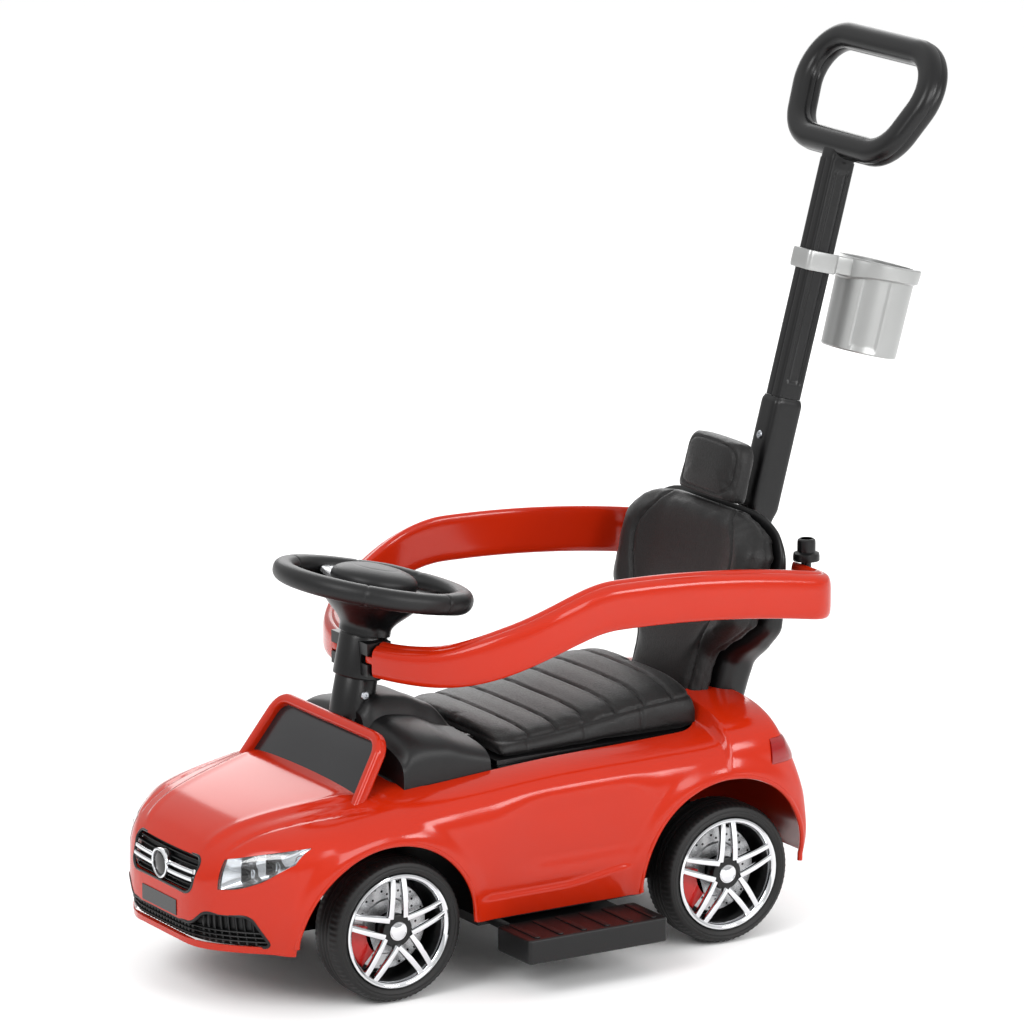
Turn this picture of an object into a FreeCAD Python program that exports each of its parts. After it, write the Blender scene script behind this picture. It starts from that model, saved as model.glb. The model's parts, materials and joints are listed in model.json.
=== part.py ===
import FreeCAD, Part
import math
import os
import re
import Sketcher
from types import SimpleNamespace
from FreeCAD import Placement, Rotation, Vector

# Push car with handle: a child's ride-on car as an assembly of separate pieces, in millimetres.
# +Z is up, the car faces -Y and its left side is +X. The origin lies on the ground, on the plane
# of symmetry, halfway along the whole length.

# Driving dimensions: word, value, meaning
SIZES = [
    ("wall", 3, "wall of the moulded shells"),
    ("play", 0.4, "gap between pieces that must not rub"),
    ("running", 0.05, "radial clearance of a shaft in its hole"),
    # running gear
    ("front_axle_y", -250, "front axle along the car"),
    ("rear_axle_y", 120, "rear axle along the car"),
    ("tyre_radius", 70, "outer radius of the tyres, and height of the axles"),
    ("tyre_width", 44, "width of the tyres"),
    ("tyre_corner", 9, "rounding of the tyre's shoulders"),
    ("track_half", 123.5, "middle of a tyre from the plane of symmetry"),
    ("rim_radius", 56, "seat of the tyre on the wheel"),
    ("barrel_wall", 6, "thickness of the wheel's outer barrel"),
    ("web_depth", 5, "thickness of the wheel's inner web"),
    ("axle_radius", 5, "steel axles"),
    ("hub_radius", 12, "tube of the wheel round its axle"),
    ("thrust_radius", 8.5, "shoulder that spaces a wheel from its bearing"),
    ("axle_sunk", 8, "ends of the axles inside the tyre's outer face"),
    ("disc_radius", 42, "brake disc insert"),
    ("disc_depth", 4, "thickness of the brake disc insert"),
    ("disc_hole", 2.2, "radius of the holes in the brake disc"),
    ("disc_hole_ring", 33, "circle of the holes in the brake disc"),
    ("caliper_depth", 9, "how far the caliper stands off the disc's back"),
    ("star_depth", 7, "thickness of the chrome star"),
    ("star_ring", 6, "width of the chrome ring at the rim"),
    ("spoke_width", 6.5, "one bar of a twin spoke"),
    ("spoke_spread", 9, "half angle between the bars of a twin spoke, degrees"),
    ("cap_radius", 12, "round hub cap"),
    # front suspension and steering linkage
    ("king_x", 88, "king pins from the plane of symmetry"),
    ("king_radius", 4.5, "king pins"),
    ("knuckle_radius", 9.5, "barrel of a knuckle"),
    ("beam_low", 52, "underside of the front beam"),
    ("beam_plate", 5.6, "plates of the front beam"),
    ("beam_half", 11, "half width of the front beam along the car"),
    ("knuckle_height", 66.4, "barrel of a knuckle between the beam's plates"),
    ("post_inner", 46, "beam posts, inner face"),
    ("post_width", 20, "beam posts across the car"),
    ("arm_length", 25, "steering arms and crank, from pin to pin"),
    ("arm_pin", 3, "radius of the pins on the arms"),
    ("arm_low", 104, "underside of the knuckle arms"),
    ("arm_thick", 8.6, "thickness of the knuckle arms"),
    ("arm_half", 6, "half width of the knuckle arms"),
    ("tie_height", 6, "thickness of the tie rod"),
    ("tie_half", 12, "half width of the tie rod"),
    ("tie_overhang", 9, "tie rod past the pins at its ends"),
    ("slot_half", 3.6, "half width of the slots in the tie rod"),
    ("slot_reach", 5, "half length of the slots in the tie rod"),
    # steering column and wheel, on an axis that leans back
    ("column_lean", 12, "lean of the column, degrees"),
    ("helm_y", 58, "centre of the steering wheel behind the front axle"),
    ("helm_z", 368, "height of the centre of the steering wheel"),
    ("helm_radius", 87, "centre line of the steering wheel's grip"),
    ("grip_radius", 10.5, "thickness of the grip"),
    ("shaft_radius", 7, "steering shaft"),
    ("shaft_top", 14, "end of the shaft below the wheel's plane"),
    ("crank_drop", 249, "crank below the wheel's plane, along the shaft"),
    ("crank_thick", 8, "thickness of the crank"),
    ("crank_half", 7, "half width of the crank"),
    ("crank_pin_length", 13, "pin under the crank"),
    ("column_radius", 18, "column tube"),
    ("column_top", 47, "top of the column tube below the wheel's plane"),
    ("column_foot", 140, "foot of the column tube below the wheel's plane"),
    ("collar_radius", 22, "collar that holds the rails"),
    ("collar_height", 42, "collar along the column"),
    ("bracket_low", 288, "underside of the bracket that takes the rails"),
    ("bracket_height", 32, "height of that bracket"),
    ("bracket_reach", 34, "end of the bracket from the plane of symmetry"),
    ("bracket_half", 13, "half width of the bracket along the car"),
    ("tongue_z", 300, "underside of the tongue at a rail's front end"),
    ("rail_tongue", 8, "thickness of that tongue"),
    ("bowl_radius", 47, "rim of the bowl under the steering wheel"),
    ("bowl_neck", 23, "neck of that bowl"),
    ("bowl_top", 10, "top of the bowl below the wheel's plane"),
    ("spoke_thick", 7, "thickness of the steering wheel's spokes"),
    ("spoke_half", 17, "half width of a side spoke"),
    ("lower_spoke_half", 11, "half width of the rear spoke"),
    ("pad_radius", 42, "horn pad"),
    ("pad_height", 20, "dome of the horn pad"),
    ("stem_radius", 9, "guide stem under the horn pad"),
    ("press_travel", 2, "travel of the horn pad and the music buttons"),
    ("button_length", 15, "music button along its spoke"),
    ("button_width", 14, "music button across its spoke"),
    ("button_at", 60, "music button from the column's axis"),
    ("button_rise", 2.2, "music button above its spoke"),
    # body: stations from the front axle, then from the rear axle
    ("nose_reach", -175, "front face of the nose"),
    ("nose_half", 53, ""),
    ("nose_low", 61, ""),
    ("nose_top", 128, ""),
    ("lip_reach", -169, "front of the bumper"),
    ("lip_half", 73, ""),
    ("lip_low", 60, ""),
    ("lip_top", 143, ""),
    ("bumper_reach", -155, "bumper beside the grille"),
    ("bumper_half", 95, ""),
    ("bumper_low", 60, ""),
    ("bumper_top", 160, ""),
    ("corner_reach", -135, "front corner at the headlights"),
    ("corner_half", 116, ""),
    ("corner_low", 60, ""),
    ("corner_top", 172, ""),
    ("wing_reach", -105, "front wing ahead of the wheel"),
    ("wing_half", 140, ""),
    ("wing_low", 60, ""),
    ("wing_top", 181, ""),
    ("fender_reach", -60, "front of the wheel arch"),
    ("fender_half", 150, ""),
    ("fender_low", 60, ""),
    ("fender_top", 190, ""),
    ("arch_reach", -5, "over the front wheel"),
    ("arch_half", 152, ""),
    ("arch_low", 64, ""),
    ("arch_top", 199, ""),
    ("cowl_reach", 70, "behind the front wheel"),
    ("cowl_half", 149, ""),
    ("cowl_low", 66, ""),
    ("cowl_top", 205, ""),
    ("door_reach", -175, "middle of the door"),
    ("door_half", 147.5, ""),
    ("door_low", 66, ""),
    ("door_top", 213, ""),
    ("sill_reach", -75, "ahead of the rear wheel"),
    ("sill_half", 150, ""),
    ("sill_low", 66, ""),
    ("sill_top", 215, ""),
    ("haunch_reach", -3, "where the rear deck rises behind the seat"),
    ("haunch_half", 153, ""),
    ("haunch_low", 66, ""),
    ("haunch_top", 218, ""),
    ("deck_top", 233, "top of the rear deck behind the seat"),
    ("hip_reach", 25, "over the rear wheel"),
    ("hip_half", 152, ""),
    ("hip_low", 68, ""),
    ("hip_top", 233, ""),
    ("boot_reach", 55, "boot lid"),
    ("boot_half", 148, ""),
    ("boot_low", 72, ""),
    ("boot_top", 231, ""),
    ("tail_reach", 75, "tail lights"),
    ("tail_half", 143, ""),
    ("tail_low", 72, ""),
    ("tail_top", 205, ""),
    ("stern_reach", 92, "rear corner"),
    ("stern_half", 137, ""),
    ("stern_low", 70, ""),
    ("stern_top", 166, ""),
    ("rear_reach", 108, "rear face"),
    ("rear_half", 116, ""),
    ("rear_low", 72, ""),
    ("rear_top", 112, ""),
    ("sill_tuck", 8, "how far the sides lean in to the sill"),
    ("side_lean", 0.12, "slope of the sides above their widest line"),
    ("belt_share", 0.42, "height of the widest line, as a share of a section"),
    ("shoulder_share", 0.27, "radius of the shoulder, as a share of a section"),
    ("roof_crown", 6, "crown of the hood and the deck"),
    ("front_arch_radius", 96, "front wheel opening"),
    ("front_arch_set", -10, "front wheel opening from its axle"),
    ("front_arch_z", 62, "height of the centre of the front wheel opening"),
    ("rear_arch_radius", 96, "rear wheel opening"),
    ("rear_arch_set", -4, "rear wheel opening from its axle"),
    ("rear_arch_z", 74, "height of the centre of the rear wheel opening"),
    ("arch_lip", 5, "width of the lip round a wheel opening"),
    ("arch_flare", 3, "how far that lip stands proud"),
    ("cockpit_half", 110, "half width of the cockpit opening"),
    ("cockpit_front", 24, "front of the cockpit opening behind the front axle"),
    ("screen_foot_y", -31, "foot of the windscreen frame from the front axle"),
    ("screen_foot_z", 178, "height of that foot, under the hood's skin"),
    ("screen_lean", 57.2, "angle of the windscreen, degrees"),
    ("screen_length", 84, "windscreen frame along its slope"),
    ("screen_foot_half", 113, "half width of the frame at its foot"),
    ("screen_top_half", 99, "half width of the frame at its top"),
    ("screen_thick", 9, "thickness of the frame"),
    ("glass_low", 14, "lower edge of the panel up the slope"),
    ("glass_high", 73, "upper edge of the panel up the slope"),
    ("glass_low_half", 103, "half width of the panel at its lower edge"),
    ("glass_high_half", 92, "half width of the panel at its upper edge"),
    ("glass_thick", 4, "thickness of the panel"),
    ("glass_sunk", 1, "panel below the face of its frame"),
    # front and rear trim
    ("grille_top", 146, "top of the grille"),
    ("grille_low", 111, "bottom of the grille"),
    ("grille_top_half", 62, "half width of the grille at its top"),
    ("grille_low_half", 55, "half width of the grille at its bottom"),
    ("grille_depth", 8, "depth of the grille and the intake"),
    ("grille_sunk", 2, "grille and intake behind the skin"),
    ("bar_height", 4, "one chrome bar"),
    ("bar_gap", 5, "gap between the chrome bars"),
    ("bar_z", 128, "middle between the chrome bars"),
    ("bar_half", 52, "half length of the chrome bars"),
    ("boss_radius", 14, "plain boss in the middle of the bars"),
    ("boss_depth", 4, "plain boss from front to back"),
    ("intake_low", 67, "bottom of the lower intake"),
    ("intake_top", 83, "top of the lower intake under the plate"),
    ("intake_mid_half", 56, "half width of the intake under the plate"),
    ("intake_side_top", 97, "top of the side intakes"),
    ("intake_side_inner", 72, "inner end of a side intake"),
    ("intake_side_outer", 110, "outer end of a side intake at its top"),
    ("intake_half", 121, "half width of the intake at its bottom"),
    ("plate_half", 33, "half width of the blank plate"),
    ("plate_low", 85, "bottom of the blank plate"),
    ("plate_height", 15, "height of the blank plate"),
    ("plate_thick", 2.5, "thickness of the blank plate"),
    ("lamp_inner", 86, "inner end of a headlight"),
    ("lamp_inner_low", 121, "headlight, bottom at its inner end"),
    ("lamp_inner_top", 149, "headlight, top at its inner end"),
    ("lamp_outer", 137, "outer end of a headlight"),
    ("lamp_outer_top", 163, "headlight, top at its outer end"),
    ("lamp_outer_low", 148, "headlight, bottom at its outer end"),
    ("lens_thick", 2.5, "thickness of a lens"),
    ("reflector_depth", 12, "depth of a headlight's reflector"),
    ("projector_radius", 9, "round bowls in a reflector"),
    ("tail_lamp_inner", 92, "inner end of a tail light"),
    ("tail_lamp_low", 174, "bottom of the tail lights"),
    ("tail_lamp_high", 199, "top of the tail lights"),
    ("tail_lamp_front", 47, "front end of a tail light behind the rear axle"),
    ("tail_lamp_depth", 7, "thickness of a tail light"),
    # floor, tub, console and seat
    ("pan_low", 62, "underside of the floor pan"),
    ("pan_thick", 4, "thickness of the floor pan"),
    ("pan_half", 136, "half width of the floor pan between the wheels"),
    ("pan_nose_half", 74, "half width of the floor pan between the front wheels"),
    ("pan_tail_half", 92, "half width of the floor pan between the rear wheels"),
    ("pan_nose", -90, "front end of the pan from the front axle"),
    ("pan_waist_front", 95, "where the pan widens behind the front axle"),
    ("pan_waist_rear", -95, "where the pan narrows ahead of the rear axle"),
    ("pan_tail", 85, "rear end of the pan from the rear axle"),
    ("bearing_half", 10, "half length of the axle bearings along the car"),
    ("bearing_height", 18, "height of the axle bearings"),
    ("bearing_width", 22, "width of the axle bearings"),
    ("tub_half", 95, "half width of the storage tub"),
    ("tub_rear", -12, "rear wall of the storage tub from the rear axle"),
    ("tub_front", -233, "front wall of the storage tub from the rear axle"),
    ("tub_rim", 203, "height of the storage tub's rim"),
    ("seat_front", -238, "front edge of the seat from the rear axle"),
    ("seat_rear", -6, "rear edge of the seat from the rear axle"),
    ("board_thick", 4.7, "thickness of the seat board"),
    ("board_half", 105, "half width of the seat board"),
    ("hinge_z", 219, "height of the seat's hinge"),
    ("hinge_set", -4.5, "seat hinge ahead of the seat's front edge"),
    ("hinge_pin", 3, "radius of the hinge pin"),
    ("hinge_barrel", 4.7, "radius of the hinge barrels"),
    ("hinge_inner", 30, "inner end of a hinge barrel"),
    ("hinge_length", 22, "length of a hinge barrel"),
    ("ear_width", 6, "ears beside a hinge barrel"),
    ("channel_count", 8, "lobes sewn into the seat"),
    ("channel_depth", 4, "depth of the sewn channels"),
    ("cushion_half", 104, "half width of the cushion at its foot"),
    ("cushion_draw", 8, "how far the cushion's sides draw in"),
    ("cushion_front_top", 228, "top of the cushion at its front"),
    ("cushion_rear_top", 252, "top of the cushion at its rear"),
    ("cushion_front_crown", 5, "crown of the cushion at its front"),
    ("cushion_rear_crown", 18, "crown of the cushion at its rear"),
    ("cushion_corner", 6, "rounding along the cushion's sides"),
    ("console_foot", 188, "lower edge of the console's skirt"),
    ("console_front", 28.4, "front of the console behind the front axle"),
    ("console_front_top", 243, "top of the console at its front"),
    ("console_peak", 56, "highest line of the console behind the front axle"),
    ("console_peak_top", 250, ""),
    ("console_rear", 122.4, "rear of the console behind the front axle"),
    ("console_rear_top", 227, ""),
    ("console_shoulder", 30, "rounding of the console's sides"),
    ("ridge_half", 38, "half width of the ridge behind the column"),
    ("ridge_front_top", 262, "top of the ridge at the windscreen"),
    ("ridge_top", 267, "top of the ridge beside the column"),
    ("ridge_fall", 10, "step of the ridge down to the seat"),
    # foot steps
    ("step_front", 107, "front end of a foot step behind the front axle"),
    ("step_length", 156, "length of a foot step"),
    ("step_low", 34, "underside of a foot step"),
    ("step_height", 25, "height of a foot step"),
    ("step_outer", 205, "outer face of a foot step"),
    ("step_width", 62, "width of a foot step's tread"),
    ("step_wall", 3, "wall of a foot step"),
    ("step_ribs", 6, "grip ribs on a foot step"),
    ("rib_height", 1.2, "height of the grip ribs"),
    ("tongue_inner", 54, "inner end of a step's tongue"),
    ("tongue_inset", 18, "tongue narrower than its step, each side"),
    ("tongue_low", 46.4, "underside of the tongues"),
    ("tongue_thick", 11.6, "thickness of the tongues"),
    ("guide_end", 88, "ends of the guide from the plane of symmetry"),
    ("guide_wall", 4, "wall of the guide"),
    # rails
    ("rail_thick", 18, "thickness of a rail"),
    ("rail_round", 4, "bevel of a rail's edges"),
    ("rail_rise", 8, "how much higher a rail's inner edge is than its outer edge"),
    ("rail_seam", 0.2, "gap between the two halves of a rail"),
    ("rail_side", 161, "middle of a rail beside the child"),
    ("rail_sweep", 155, "radius of a rail's curve to the collar"),
    ("rail_bend", 195, "where that curve starts behind the front axle"),
    ("rail_corner", 25, "radius of a rail's rear corner"),
    ("rail_front_low", 287, "underside of a rail at the collar"),
    ("rail_peak_low", 336, "underside of a rail beside the child"),
    ("rail_rear_drop", 23, "how far a rail falls from there to its pin"),
    ("rail_dip", 60, "where a rail starts to rise behind the front axle"),
    ("rail_crest", 230, "where it is highest, behind the front axle"),
    ("rail_front_height", 27, "height of a rail's section at the collar"),
    ("rail_height", 41, "height of a rail's section beside the child"),
    ("tongue_end", 27, "front end of a rail from the plane of symmetry"),
    ("pin_x", 116, "rail pins from the plane of symmetry"),
    ("pin_y", 106, "rail pins behind the rear axle"),
    ("pin_radius", 5, "rail pins"),
    ("pin_below", 20, "lower end of a rail pin under its ear"),
    ("pin_knob", 6.5, "knobs on top of the rail pins"),
    ("pin_knob_height", 22, "height of those knobs"),
    ("ear_z", 334, "underside of the ears that hold the rail pins"),
    ("ear_thick", 8, "thickness of those ears"),
    ("ear_half", 11, "half width of those ears"),
    ("ear_sweep", 17, "room round an ear inside a rail"),
    # backrest, on a plane that leans back
    ("back_y", 3, "foot of the backrest from the rear axle"),
    ("back_z", 205, "height of that foot"),
    ("back_lean", 15, "lean of the backrest, degrees"),
    ("back_base_half", 66, "half width of the backrest at its foot"),
    ("back_waist", 62, "height of the waist up the backrest"),
    ("back_waist_half", 69, "half width at the waist"),
    ("back_chest", 112, "height of the widest line up the backrest"),
    ("back_chest_half", 123, "half width there"),
    ("back_shoulder", 174, "height where the shoulders start to round"),
    ("back_top", 214, "top of the backrest up its slope"),
    ("back_top_half", 62, "half width at the top"),
    ("pad_thick", 22, "thickness of the backrest pad"),
    ("pad_crown", 5, "crown of the backrest pad"),
    ("pad_wing", 14, "how far the pad's sides reach forward"),
    ("shell_foot", -25, "lower end of the shell, inside the rear deck"),
    ("shell_base_depth", 71, "depth of the backrest at its foot"),
    ("shell_top_depth", 26, "depth of the backrest at its top"),
    ("head_height", 60, "height of the headrest"),
    ("head_half", 50, "half width of the headrest"),
    ("head_front", -2, "front of the headrest from the pad's face"),
    ("head_back", 28, "back of the headrest from the pad's face"),
    # handle, on an axis that leans back
    ("pole_y", 79.5, "foot of the pole behind the rear axle"),
    ("pole_z", 215, "height of that foot"),
    ("pole_lean", 14.9, "lean of the pole, degrees"),
    ("pole_half", 12, "half width of the pole"),
    ("pole_depth", 14.5, "half depth of the pole"),
    ("pole_end", 200, "lower end of the pole up the axis"),
    ("pole_top", 546, "upper end of the pole up the axis"),
    ("socket_wall", 2.5, "wall of the pole's socket"),
    ("socket_foot", -70, "foot of the socket along the axis"),
    ("socket_low", 178, "lower end of the socket's sleeve up the axis"),
    ("socket_top", 292, "top of the socket's sleeve up the axis"),
    ("screw_at", 252, "lock screw up the axis"),
    ("screw_radius", 2.5, "shank of the lock screw"),
    ("screw_head", 5, "head of the lock screw"),
    ("loop_lean", 14.2, "lean of the loop past the pole's, degrees"),
    ("loop_low_half", 77, "half width of the loop at its bottom"),
    ("loop_top_half", 119, "half width of the loop at its top"),
    ("loop_height", 107, "height of the loop"),
    ("loop_radius", 13.3, "radius of the loop's bar"),
    ("loop_corner", 42, "radius of the loop's corners along its centre line"),
    ("panel_depth", 1.2, "depth of the panels in the sides of the pole"),
    # cup holder, on an axis beside the pole's
    ("cup_set", 76, "axis of the cup behind the pole's axis"),
    ("cup_low", 350, "bottom of the cup up the axis"),
    ("cup_depth", 87.5, "inside depth of the cup"),
    ("cup_radius", 36, "inside of the cup"),
    ("cup_wall", 2.5, "wall of the cup"),
    ("cup_rim", 5, "how far the rim stands out"),
    ("cup_rim_height", 14, "height of the rim"),
    ("clip_wall", 4, "wall of the clip round the pole"),
    ("clip_height", 20, "height of the clip"),
    ("clip_mouth", 9, "half width of the clip's opening"),
]

doc = FreeCAD.newDocument("push_car")
sizes = doc.addObject("Spreadsheet::Sheet", "sizes")
for row, (word, value, meaning) in enumerate(SIZES, start=1):
    sizes.set(f"A{row}", meaning)
    sizes.set(f"B{row}", str(value))
    sizes.setAlias(f"B{row}", word)
doc.recompute()
S = SimpleNamespace(**{word: float(sizes.get(word)) for word, value, meaning in SIZES})

ACROSS = Rotation(Vector(0, 1, 0), 90)
UPRIGHT = Rotation()
SIDES = (("left", 1), ("right", -1))
nodes = []


# Small helpers

def cells(text):
    """Turn the size words of an expression into references to the sheet."""
    return re.sub(r"\b[a-z][a-z_]*\b(?!\()", lambda word: "sizes." + word.group(), text)


def worth(text):
    """Value of an expression of size words."""
    return float(sizes.evalExpression(cells(text)))


def node(label, item):
    """Keep an object as one piece of the car, under the name of its file."""
    item.Label = label
    nodes.append(item)
    return item


def feature(name, shape, placement=None):
    """Object for a shape that no standard feature gives."""
    item = doc.addObject("Part::Feature", name)
    item.Shape = shape
    if placement:
        item.Placement = placement
    return item


def at(item, x, y, z):
    """Bind the place of an object to expressions of size words."""
    for axis, text in zip("xyz", (x, y, z)):
        item.setExpression("Placement.Base." + axis, cells(text))
    return item


def block(name, x, y, z, length, width, height):
    """Box by its low corner and its extents."""
    item = doc.addObject("Part::Box", name)
    for field, text in (("Length", length), ("Width", width), ("Height", height)):
        item.setExpression(field, cells(text))
    return at(item, x, y, z)


def rod(name, turn, x, y, z, radius, height):
    """Cylinder from the centre of its first end."""
    item = doc.addObject("Part::Cylinder", name)
    item.Placement.Rotation = turn
    item.setExpression("Radius", cells(radius))
    item.setExpression("Height", cells(height))
    return at(item, x, y, z)


def fuse(name, *items):
    """One solid from several."""
    item = doc.addObject("Part::MultiFuse", name)
    item.Shapes = list(items)
    item.Refine = True
    return item


def cut(name, base, *tools):
    """A solid less others."""
    item = doc.addObject("Part::Cut", name)
    item.Base = base
    item.Tool = tools[0] if len(tools) == 1 else fuse(name + "_tools", *tools)
    return item


def leaning(y, z, lean):
    """Frame whose local Z leans back from the vertical and whose local Y faces the rear."""
    return Placement(Vector(0, y, z), Rotation(Vector(1, 0, 0), -lean))


def polygon(points):
    """Closed face through points."""
    return Part.Face(Part.makePolygon(points + points[:1]))


def prism(points, direction):
    """Outline carried along a straight direction."""
    return polygon(points).extrude(direction)


def mirrored(shape):
    """The same shape on the other side of the car."""
    return shape.mirror(Vector(), Vector(1, 0, 0))


def sketch_on(body, plane, name, corners):
    """Sketch of straight edges in a body; each corner is a pair of expressions."""
    sketch = body.newObject("Sketcher::SketchObject", name)
    support = [part for part in body.Origin.OriginFeatures if part.Role == plane]
    sketch.AttachmentSupport = [(support[0], "")]
    sketch.MapMode = "FlatFace"
    points = [Vector(worth(x), worth(y), 0) for x, y in corners]
    for start, end in zip(points, points[1:] + points[:1]):
        sketch.addGeometry(Part.LineSegment(start, end), False)
    count = len(points)
    for index in range(count):
        sketch.addConstraint(Sketcher.Constraint("Coincident", index, 2, (index + 1) % count, 1))
    for index, texts in enumerate(corners):
        for kind, text in zip(("DistanceX", "DistanceY"), texts):
            row = sketch.addConstraint(Sketcher.Constraint(kind, index, 1, worth(text)))
            sketch.setExpression(f"Constraints[{row}]", cells(text))
    return sketch


def turned(name, corners, axis="H_Axis"):
    """Body turned round the sketch's own axis; corners are (along, radius)."""
    body = doc.addObject("PartDesign::Body", name)
    sketch = sketch_on(body, "XY_Plane", name + "_profile", corners)
    spin = body.newObject("PartDesign::Revolution", name + "_turn")
    spin.Profile = sketch
    spin.ReferenceAxis = (sketch, [axis])
    spin.Angle = 360
    return body


def padded(name, corners, thickness):
    """Body raised from an outline on the ground plane."""
    body = doc.addObject("PartDesign::Body", name)
    sketch = sketch_on(body, "XY_Plane", name + "_outline", corners)
    pad = body.newObject("PartDesign::Pad", name + "_pad")
    pad.Profile = sketch
    pad.setExpression("Length", cells(thickness))
    return body


def pocketed(body, name, corners):
    """Cut an outline right through a padded body, both ways."""
    sketch = sketch_on(body, "XY_Plane", name, corners)
    pocket = body.newObject("PartDesign::Pocket", name + "_cut")
    pocket.Profile = sketch
    pocket.Type = "ThroughAll"
    pocket.Midplane = True
    return pocket


# Body hull: a ruled loft through sections across the car

FRONT = ("nose", "lip", "bumper", "corner", "wing", "fender", "arch", "cowl")
MIDDLE = ("door", "sill", "haunch")
REAR = ("hip", "boot", "tail", "stern", "rear")


def station(word, axle_y):
    """Place and extents of one section of the body: along, half width, bottom, top."""
    values = [getattr(S, f"{word}_{end}") for end in ("reach", "half", "low", "top")]
    return [axle_y + values[0]] + values[1:]


def hull_section(y, half, low, top, inset, drop):
    """Wire of one section: sides that lean in, round shoulders and a crowned roof, with a skirt below."""
    rise = top - low
    edge = top - S.roof_crown
    radius = S.shoulder_share * rise
    slant = (radius - inset) * math.sqrt(0.5)
    belt_z = low + S.belt_share * min(rise, S.haunch_top - S.haunch_low)
    side = half - S.side_lean * (edge - radius - belt_z)
    centre = Vector(side - radius, y, edge - radius)
    sill = Vector(half - S.sill_tuck - inset, y, low)
    belt = Vector(half - inset, y, belt_z)
    shoulder = centre + Vector(radius - inset, 0, 0)
    bend = centre + Vector(slant, 0, slant)
    roof = centre + Vector(0, 0, radius - inset)

    def other(point):
        return Vector(-point.x, point.y, point.z)

    edges = [
        Part.makeLine(sill, belt),
        Part.makeLine(belt, shoulder),
        Part.Arc(shoulder, bend, roof).toShape(),
        Part.Arc(roof, Vector(0, y, top - inset), other(roof)).toShape(),
        Part.Arc(other(roof), other(bend), other(shoulder)).toShape(),
        Part.makeLine(other(shoulder), other(belt)),
        Part.makeLine(other(belt), other(sill)),
    ]
    if drop:
        foot = sill - Vector(0, 0, drop)
        edges += [Part.makeLine(other(sill), other(foot)), Part.makeLine(other(foot), foot),
                  Part.makeLine(foot, sill)]
    else:
        edges.append(Part.makeLine(other(sill), sill))
    return Part.Wire(edges)


def front_hull(inset, drop=0, overrun=0):
    """Body from the nose to the rear deck, set in by a wall and let down past the sill."""
    rows = [station(word, S.front_axle_y) for word in FRONT]
    rows += [station(word, S.rear_axle_y) for word in MIDDLE]
    rows[0][0] += inset
    rows[-1][0] += overrun
    return Part.makeLoft([hull_section(*row, inset, drop) for row in rows], True, True)


def rear_hull(inset, drop=0):
    """Rear deck and tail, set in by a wall and let down past the sill."""
    first = station("haunch", S.rear_axle_y)
    first[0] += inset
    first[3] = S.deck_top
    rows = [first] + [station(word, S.rear_axle_y) for word in REAR]
    rows[-1][0] -= inset
    return Part.makeLoft([hull_section(*row, inset, drop) for row in rows], True, True)


def skin(hull, outer, inner):
    """Layer of the body between two depths under its surface."""
    return hull(outer).cut(hull(inner, BELOW))


LONG = 1000.0
BELOW = S.wall * 10


def along_y(points, low, high):
    """Prism of an outline in the view from the front, between two places along the car."""
    return prism([Vector(x, low, z) for x, z in points], Vector(0, high - low, 0))


def grille_outline(grow):
    """Outline of the grille seen from the front, larger by a margin."""
    return [(S.grille_top_half + grow, S.grille_top + grow), (S.grille_low_half + grow,
                                                              S.grille_low - grow),
            (-S.grille_low_half - grow, S.grille_low - grow),
            (-S.grille_top_half - grow, S.grille_top + grow)]


def lamp_outline(grow):
    """Outline of the left headlight seen from the front, larger by a margin."""
    return [(S.lamp_inner - grow, S.lamp_inner_low - grow), (S.lamp_outer + grow, S.lamp_outer_low - grow),
            (S.lamp_outer + grow, S.lamp_outer_top + grow), (S.lamp_inner - grow, S.lamp_inner_top + grow)]


NOSE_Y = S.front_axle_y + S.nose_reach
TAIL_Y = S.rear_axle_y + S.rear_reach
LAMP_Y = S.front_axle_y + S.wing_reach
COLUMN = leaning(S.front_axle_y + S.helm_y, S.helm_z, S.column_lean)
BACK = leaning(S.rear_axle_y + S.back_y, S.back_z, S.back_lean)
POLE = leaning(S.rear_axle_y + S.pole_y, S.pole_z, S.pole_lean)
SCREEN = Placement(Vector(0, S.front_axle_y + S.screen_foot_y, S.screen_foot_z),
                   Rotation(Vector(1, 0, 0), S.screen_lean))


def placed(shape, placement):
    """Copy of a shape in a leaning frame."""
    copy = shape.copy()
    copy.Placement = placement.multiply(copy.Placement)
    return copy


def intake_prism(grow):
    """Space of the lower intake: low under the plate, higher at its sides."""
    half = [(S.intake_half + grow, S.intake_low - grow), (S.intake_side_outer + grow,
                                                          S.intake_side_top + grow),
            (S.intake_side_inner - grow, S.intake_side_top + grow),
            (S.intake_mid_half - grow, S.intake_top + grow)]
    return along_y(half + [(-x, z) for x, z in reversed(half)], NOSE_Y - BELOW,
                   S.front_axle_y + S.fender_reach)


def tail_box(grow):
    """Space of the left tail light, wrapped round the rear corner."""
    low_y = S.rear_axle_y + S.tail_lamp_front - grow
    return Part.makeBox(LONG, TAIL_Y + BELOW - low_y, S.tail_lamp_high - S.tail_lamp_low + 2 * grow,
                        Vector(S.tail_lamp_inner - grow, low_y, S.tail_lamp_low - grow))


def glass_prism(grow, low, high):
    """Windscreen panel in its own slope, between two heights over the frame's face."""
    points = [Vector(S.glass_low_half + grow, S.glass_low - grow, low),
              Vector(S.glass_high_half + grow, S.glass_high + grow, low),
              Vector(-S.glass_high_half - grow, S.glass_high + grow, low),
              Vector(-S.glass_low_half - grow, S.glass_low - grow, low)]
    return prism(points, Vector(0, 0, high - low))


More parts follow.
